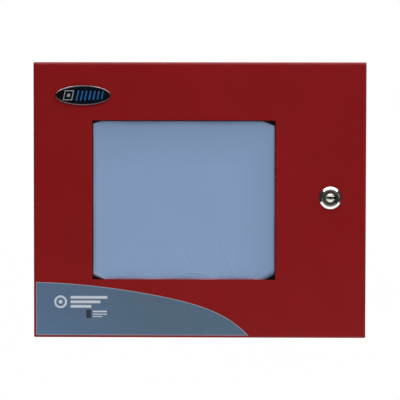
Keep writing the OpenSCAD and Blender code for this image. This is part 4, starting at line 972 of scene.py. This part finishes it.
chip_end = 0.45 * long_way + 1.25 * wide_way + [0, 0.66, 0]
resistor_black = moulded("resistor black", (24, 25, 28), 0.4)
ceramic_tan = moulded("ceramic tan", (150, 118, 84), 0.45)
both_ends = np.concatenate([spot_at - 0.95 * long_way, spot_at + 0.95 * long_way])
piece(boxes("chip_resistors", spot_at[~ceramic], chip_body[~ceramic]), resistor_black, "cabinet")
piece(boxes("ceramic_capacitors", spot_at[ceramic], chip_body[ceramic]), ceramic_tan, "cabinet")
piece(boxes("chip_ends", both_ends, np.concatenate([chip_end, chip_end])), tinned_legs, "cabinet")


# ---- Larger board parts: screw terminals, relays, electrolytic capacitors, fuses in brass clips, and a
# black finned heat sink.
dress(moulded("terminal green", (24, 112, 68), 0.42), "terminal_blocks")
relay_low, relay_high = corners("relays")
relay_w = 19
relay_lefts = np.linspace(relay_low[0], relay_high[0] - relay_w, 5)
relay_grids = []
for left in relay_lefts:
    case = soft_block((left, *relay_low[1:]), (left + relay_w, *relay_high[1:]), 1, 1.0, 0.7)
    relay_grids.append((case, True, False))
relay_case = moulded("relay case", (206, 104, 34), 0.32)
x, y, z = relay_case.axes(shift=relay_high)
tone = relay_case.tones(8, 3, (192, 92, 28), (212, 110, 38))
relay_case.set("Base Color", relay_case.mix(y > -2.2, tone, srgb(36, 34, 34)))
piece(grid_mesh("relay_cases", relay_grids, 40), relay_case, "cabinet", ["relays"])

sleeve = Finish("capacitor sleeve", specular_ior_level=0.5)
capacitor_low, capacitor_high = corners("capacitors")
x, y, z = sleeve.axes(shift=capacitor_low)
own_x, own_z = ((x + 1.5) / 14).fraction() * 14 - 7, z - (capacitor_high[2] - capacitor_low[2]) / 2
top = (y < 0.45) * ((own_x * own_x + own_z * own_z) ** 0.5 < 5.0)
scored = ((abs(own_x) < 0.25) + (abs(own_z) < 0.25)).least(1.0) * top
blue_sleeve = sleeve.tones(6, 2, (20, 26, 58), (27, 34, 72))
wrapped = sleeve.mix((own_x > 3.9) * 0.85, blue_sleeve, srgb(170, 174, 186))
can_top = sleeve.mix(scored, srgb(206, 206, 208), srgb(90, 90, 92))
sleeve.set("Base Color", sleeve.mix(top, wrapped, can_top))
sleeve.set("Metallic", top * 0.9)
sleeve.rough(3, 2, 0.28, 0.4)
sleeve.relief(scored, 0.1)
dress(sleeve, "capacitors")

dress(plated("clip brass", 0.72, 0.3, (1, 1, 0.2), 0.17), "fuse_holders")
fuse_low, fuse_high = corners("fuses")
fuse_tube = Finish("fuse tube", coat_weight=1.0, coat_roughness=0.03)
x, y, z = fuse_tube.axes(shift=(fuse_low + fuse_high) / 2)
fuse_end = abs(z) > 6.2
fuse_cap = fuse_tube.tones(2, 2, (186, 184, 178), (214, 212, 206))
fuse_tube.set("Base Color", fuse_tube.mix(fuse_end, srgb(214, 220, 216), fuse_cap))
fuse_tube.set("Metallic", fuse_end * 1.0)
fuse_tube.set("Alpha", fuse_end * 0.65 + 0.35)
fuse_tube.rough(2, 2, 0.12, 0.24)
dress(fuse_tube, "fuses")

anodised = Finish("black anodising", metallic=0.6)
drawn = anodised.noise(0.6, 2, 0.5, (1, 1, 0.05))
anodised.set("Base Color", anodised.mix(drawn, (0.018, 0.018, 0.02, 1), (0.04, 0.04, 0.045, 1)))
anodised.set("Roughness", anodised.ramp(drawn, 0.3, 0.7, 0.38, 0.5))
anodised.relief(drawn, 0.03)
dress(anodised, "heatsink")


# ---- Power supply: a transformer of stamped laminations with a taped coil inside the slotted cage, and
# an ivory block with the mains screws above it.
core = Finish("core laminations", metallic=0.55)
core_low, core_high = corners("transformer")
x, y, z = core.axes(shift=(core_low + core_high) / 2)
coil = (abs(x) < 20) * (abs(z) < 16.5) * (y < -14.9)
sheets = (y / 0.6).fraction()
steel = core.mix(core.ramp(sheets, 0.35, 0.65), (0.10, 0.09, 0.08, 1), (0.26, 0.24, 0.22, 1))
tape = core.mix(core.noise(5, 3, 0.5, (0.3, 1, 1)), srgb(170, 132, 48), srgb(196, 158, 70))
core.set("Base Color", core.mix(coil, steel, tape))
core.set("Metallic", 0.55 - coil * 0.55)
core.rough(4, 3, 0.42, 0.58)
core.relief(core.ramp(abs(sheets - 0.5), 0.3, 0.5), 0.15)
dress(core, "transformer")
dress(moulded("mains ivory", (208, 202, 182), 0.42), "mains_block")


# ---- Batteries: two sealed lead-acid blocks that stand on the cabinet's floor. Each is a moulded case
# with a lid welded on, two strips over the vents, a collar round each tab, and a plain printed label.
lid_tall = 5
lid_inset = 0.6
lid_drop = 0.3
label_half = (44, 13)
strip_reach, strip_half = 21, (16, 5)
collar_half, collar_in = (5.5, 2.6), 11
tabs_low, tabs_high = corners("battery_tabs")
tab_x = tabs_high[0] - 3.15
for side, name in ((-1, "battery_left"), (1, "battery_right")):
    low, high = corners(name)
    middle = (low + high) / 2
    seam = high[2] - lid_tall
    case = soft_block(low, [high[0], high[1], seam], 2, 3.0, 0.5)
    lid = soft_block([low[0] + lid_inset, low[1] + lid_inset, seam - 0.3],
                     [high[0] - lid_inset, high[1] - lid_inset, high[2] - lid_drop], 2, 2.6, 1.3)

    def on_lid(x, y, half, corner, edge):
        """A low raised block on the lid, about (x, y), whose top is the battery's own top."""
        return soft_block([x - half[0], y - half[1], high[2] - lid_drop - 0.5],
                          [x + half[0], y + half[1], high[2]], 2, corner, edge)

    strips = [on_lid(middle[0] + x, middle[1], strip_half, 2, 0.25) for x in (-strip_reach, strip_reach)]
    collar_ys = (low[1] + collar_in, high[1] - collar_in)
    collars = [on_lid(side * tab_x, y, collar_half, 1, 0.2) for y in collar_ys]
    shell = moulded(name + " case", (58, 60, 64), 0.5, 0.9)
    x, y, z = shell.axes(shift=(middle[0], low[1], middle[2]))
    plate_mask = (abs(x) < label_half[0]) * (abs(z) < label_half[1]) * (y < 0.3)
    rules = (abs((z / 5.2).fraction() - 0.5) < 0.14) * (abs(x + 4) < 32) * (abs(z) < 9) * plate_mask
    edge_line = outline(x, z, (0, 0), (label_half[0] - 1, label_half[1] - 1), 0.7) * plate_mask
    case_tone = shell.tones(18, 3, (47, 49, 53), (62, 64, 68))
    sticker_tone = shell.mix(plate_mask * 0.95, case_tone, srgb(196, 199, 202))
    blue_ink = (rules + edge_line).least(1.0) * 0.8
    shell.set("Base Color", shell.mix(blue_ink, sticker_tone, srgb(52, 82, 126)))
    grids = [(grid, True, False) for grid in (case, lid, *strips, *collars)]
    piece(grid_mesh(name + "_case", grids, 40), shell, "cabinet", [name])


# ---- Battery leads: stranded wires in soft sleeves, pushed onto the tabs with insulated sockets. Red and
# black go up to the main board, and a blue link joins the two batteries in series.
def smooth_route(points, steps=12):
    """Points on a Catmull-Rom curve between b and c, whose neighbours are a and d: half of
    2b + (c - a)t + (2a - 5b + 4c - d)t squared + (3b - a - 3c + d)t cubed."""
    points = np.array(points, float)
    padded = np.concatenate([points[:1], points, points[-1:]])
    t = np.linspace(0, 1, steps, endpoint=False)[None, :, None]
    a, b, c, d = (padded[k:k + len(points) - 1, None] for k in range(4))
    square, cube = 2 * a - 5 * b + 4 * c - d, 3 * b - a - 3 * c + d
    line = 0.5 * (2 * b + (c - a) * t + square * t ** 2 + cube * t ** 3)
    return np.concatenate([line.reshape(-1, 3), points[-1:]])


def tube(line, radius, side, columns=16):
    """A round tube of that radius: rings square to the line, and both ends closed in their middle."""
    along = np.gradient(line, axis=0)
    along /= np.linalg.norm(along, axis=1)[:, None]
    across = np.cross(along, side)
    across /= np.linalg.norm(across, axis=1)[:, None]
    up = np.cross(along, across)
    turn = np.linspace(0, 2 * math.pi, columns, endpoint=False)[None, :, None]
    ring = across[:, None] * np.cos(turn) + up[:, None] * np.sin(turn)
    grid = line[:, None] + np.reshape(radius, (-1, 1, 1)) * ring
    ends = line[[0, -1], None] + 0 * ring[[0, -1]]
    return np.concatenate([ends[:1], grid, ends[1:]]) * MM


def sleeve_finish(name, shade):
    """Soft vinyl over strands: a satin skin with a faint spiral of the strands under it."""
    vinyl = Finish(name, specular_ior_level=0.5)
    vinyl.set("Base Color", vinyl.tones(3, 2, [0.86 * c for c in shade], shade))
    vinyl.rough(2, 3, 0.32, 0.46)
    vinyl.relief(vinyl.noise(0.7, 1, 0.5, (1, 1, 0.4)), 0.05)
    return vinyl


tab_rear, tab_front, tab_top = tabs_high[1] - 0.4, tabs_low[1] + 0.4, tabs_high[2]
plug_foot = np.array([-6.3, main_front - 4, -51.0])
lead_straight = np.array([0, 0, 3.0])


def boot(at):
    """A socket's soft sleeve over one tab: a flat box that narrows to the round of the wire."""
    levels = [(0, 0, 0, -5.4), (3.9, 1.7, 0.9, -5.4), (4.2, 2.0, 1.2, -5.0), (4.2, 2.0, 1.2, 1.0),
              (3.6, 1.9, 1.4, 2.6), (2.1, 1.75, 1.7, 5.0), (1.75, 1.7, 1.7, 6.4), (1.3, 1.3, 1.3, 6.5),
              (0, 0, 0, 6.4)]
    return rounded_rings(at, 2, np.array(levels) + [0, 0, 0, at[2]])


red_start = np.array([-tab_x, tab_rear, tab_top])
red_end = plug_foot - [3, 0, 0]
black_start = np.array([tab_x, tab_rear, tab_top])
black_end = plug_foot + [3, 0, 0]
black_bow = (black_start[0] - black_end[0]) / 5
link_start = np.array([-tab_x, tab_front, tab_top])
link_end = np.array([tab_x, tab_front, tab_top])
lead_radius = 1.3


def lead_route(start, after, before, end, last_way=-1):
    """Straight up from start, by a point after it and one before end, and straight into end."""
    return [start, start + lead_straight, start + after, end + before, end + last_way * lead_straight, end]


lead_routes = [
    ("lead_red", "wire_red", (176, 26, 26), (1, 0, 0.1), [red_start],
     lead_route(red_start, [-1, -5, 9], [-3, -5, -8], red_end)),
    ("lead_black", "wire_black", (28, 28, 30), (0, 1, 0.1), [black_start],
     lead_route(black_start, [-3, -black_bow, 9], [7, -black_bow - 1, -7], black_end)),
    ("lead_link", "wire_blue", (34, 66, 150), (0, 1, 0), [link_start, link_end],
     lead_route(link_start, [5, 0, 8], [-5, 0, 8], link_end, 1)),
]
for name, slot, shade, side, starts, route in lead_routes:
    grids = [(tube(smooth_route(route), lead_radius, side), True, False)]
    grids += [(boot(start), True, False) for start in starts]
    vinyl = sleeve_finish(name + " vinyl", shade)
    piece(grid_mesh(name + "_wire", grids, 40), vinyl, "cabinet", [name])


# ---- Bonding lead: a green and yellow earth wire from a stud in the cabinet's left side to one on the
# door, with a crimped ring terminal at each end.
lead_low, lead_high = corners("bonding_lead")
bond_radius = 1.5
bond_start = np.array([lead_low[0] + bond_radius, lead_high[1] - bond_radius + 0.01, 110.75])
bond_end = np.array([-150, -89.8, 110.95])
bond_route = [bond_start, bond_start + [0.3, -1, -6], bond_start + [1.2, -6, -18],
              bond_start + [2.5, -14, -27], bond_end + [-3, 16, -28], bond_end + [-1.5, 6, -18],
              bond_end + [0, 1, -6], bond_end]
bond_line = smooth_route(bond_route, 16)
earth = Finish("earth vinyl", specular_ior_level=0.5)
around = earth.add("ShaderNodeSeparateXYZ", (), [earth.add("ShaderNodeUVMap")], 0)
stripe = abs((around * 2 + 0.25).fraction() - 0.5) < 0.17
green_vinyl = earth.tones(3, 2, (26, 110, 50), (34, 128, 60))
earth.set("Base Color", earth.mix(stripe, green_vinyl, srgb(206, 188, 40)))
earth.rough(2, 3, 0.32, 0.46)
bond_tube = tube(bond_line[3:], bond_radius, (1, 0, 0.1))
bond_wire = piece(grid_mesh("bonding_wire", [(bond_tube, True, False)], 60), earth)
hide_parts("bonding_lead")
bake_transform(bond_wire)


def ring_terminal(name, stud, axis, near, far, hole, wire, body):
    """A flat ring about a stud, and a barrel crimped round the first 7 mm of the wire."""
    levels = [(hole, near), (hole + 2.1, near), (hole + 2.1, far), (hole, far)]
    ring = rounded_rings(stud, axis, [(r, r, r, place) for r, place in levels], 9)
    barrel = tube(wire, bond_radius + 0.35 + 0.12 * np.sin(np.linspace(0, 9, len(wire))), (1, 0, 0.1))
    grids = [(ring, True, True), (barrel, True, False)]
    piece(grid_mesh(name, grids, 40), tinned_legs, body)


box_stud = (0, bond_start[1], 112.8)
door_stud = (bond_end[0], 0, 112.8)
ring_terminal("cabinet_ring_terminal", box_stud, 0, -159.05, -158.25, 2.05, bond_line[5:18], "cabinet")
ring_terminal("door_ring_terminal", door_stud, 1, -91.35, -90.55, 1.55, bond_line[-18:-5], "door")
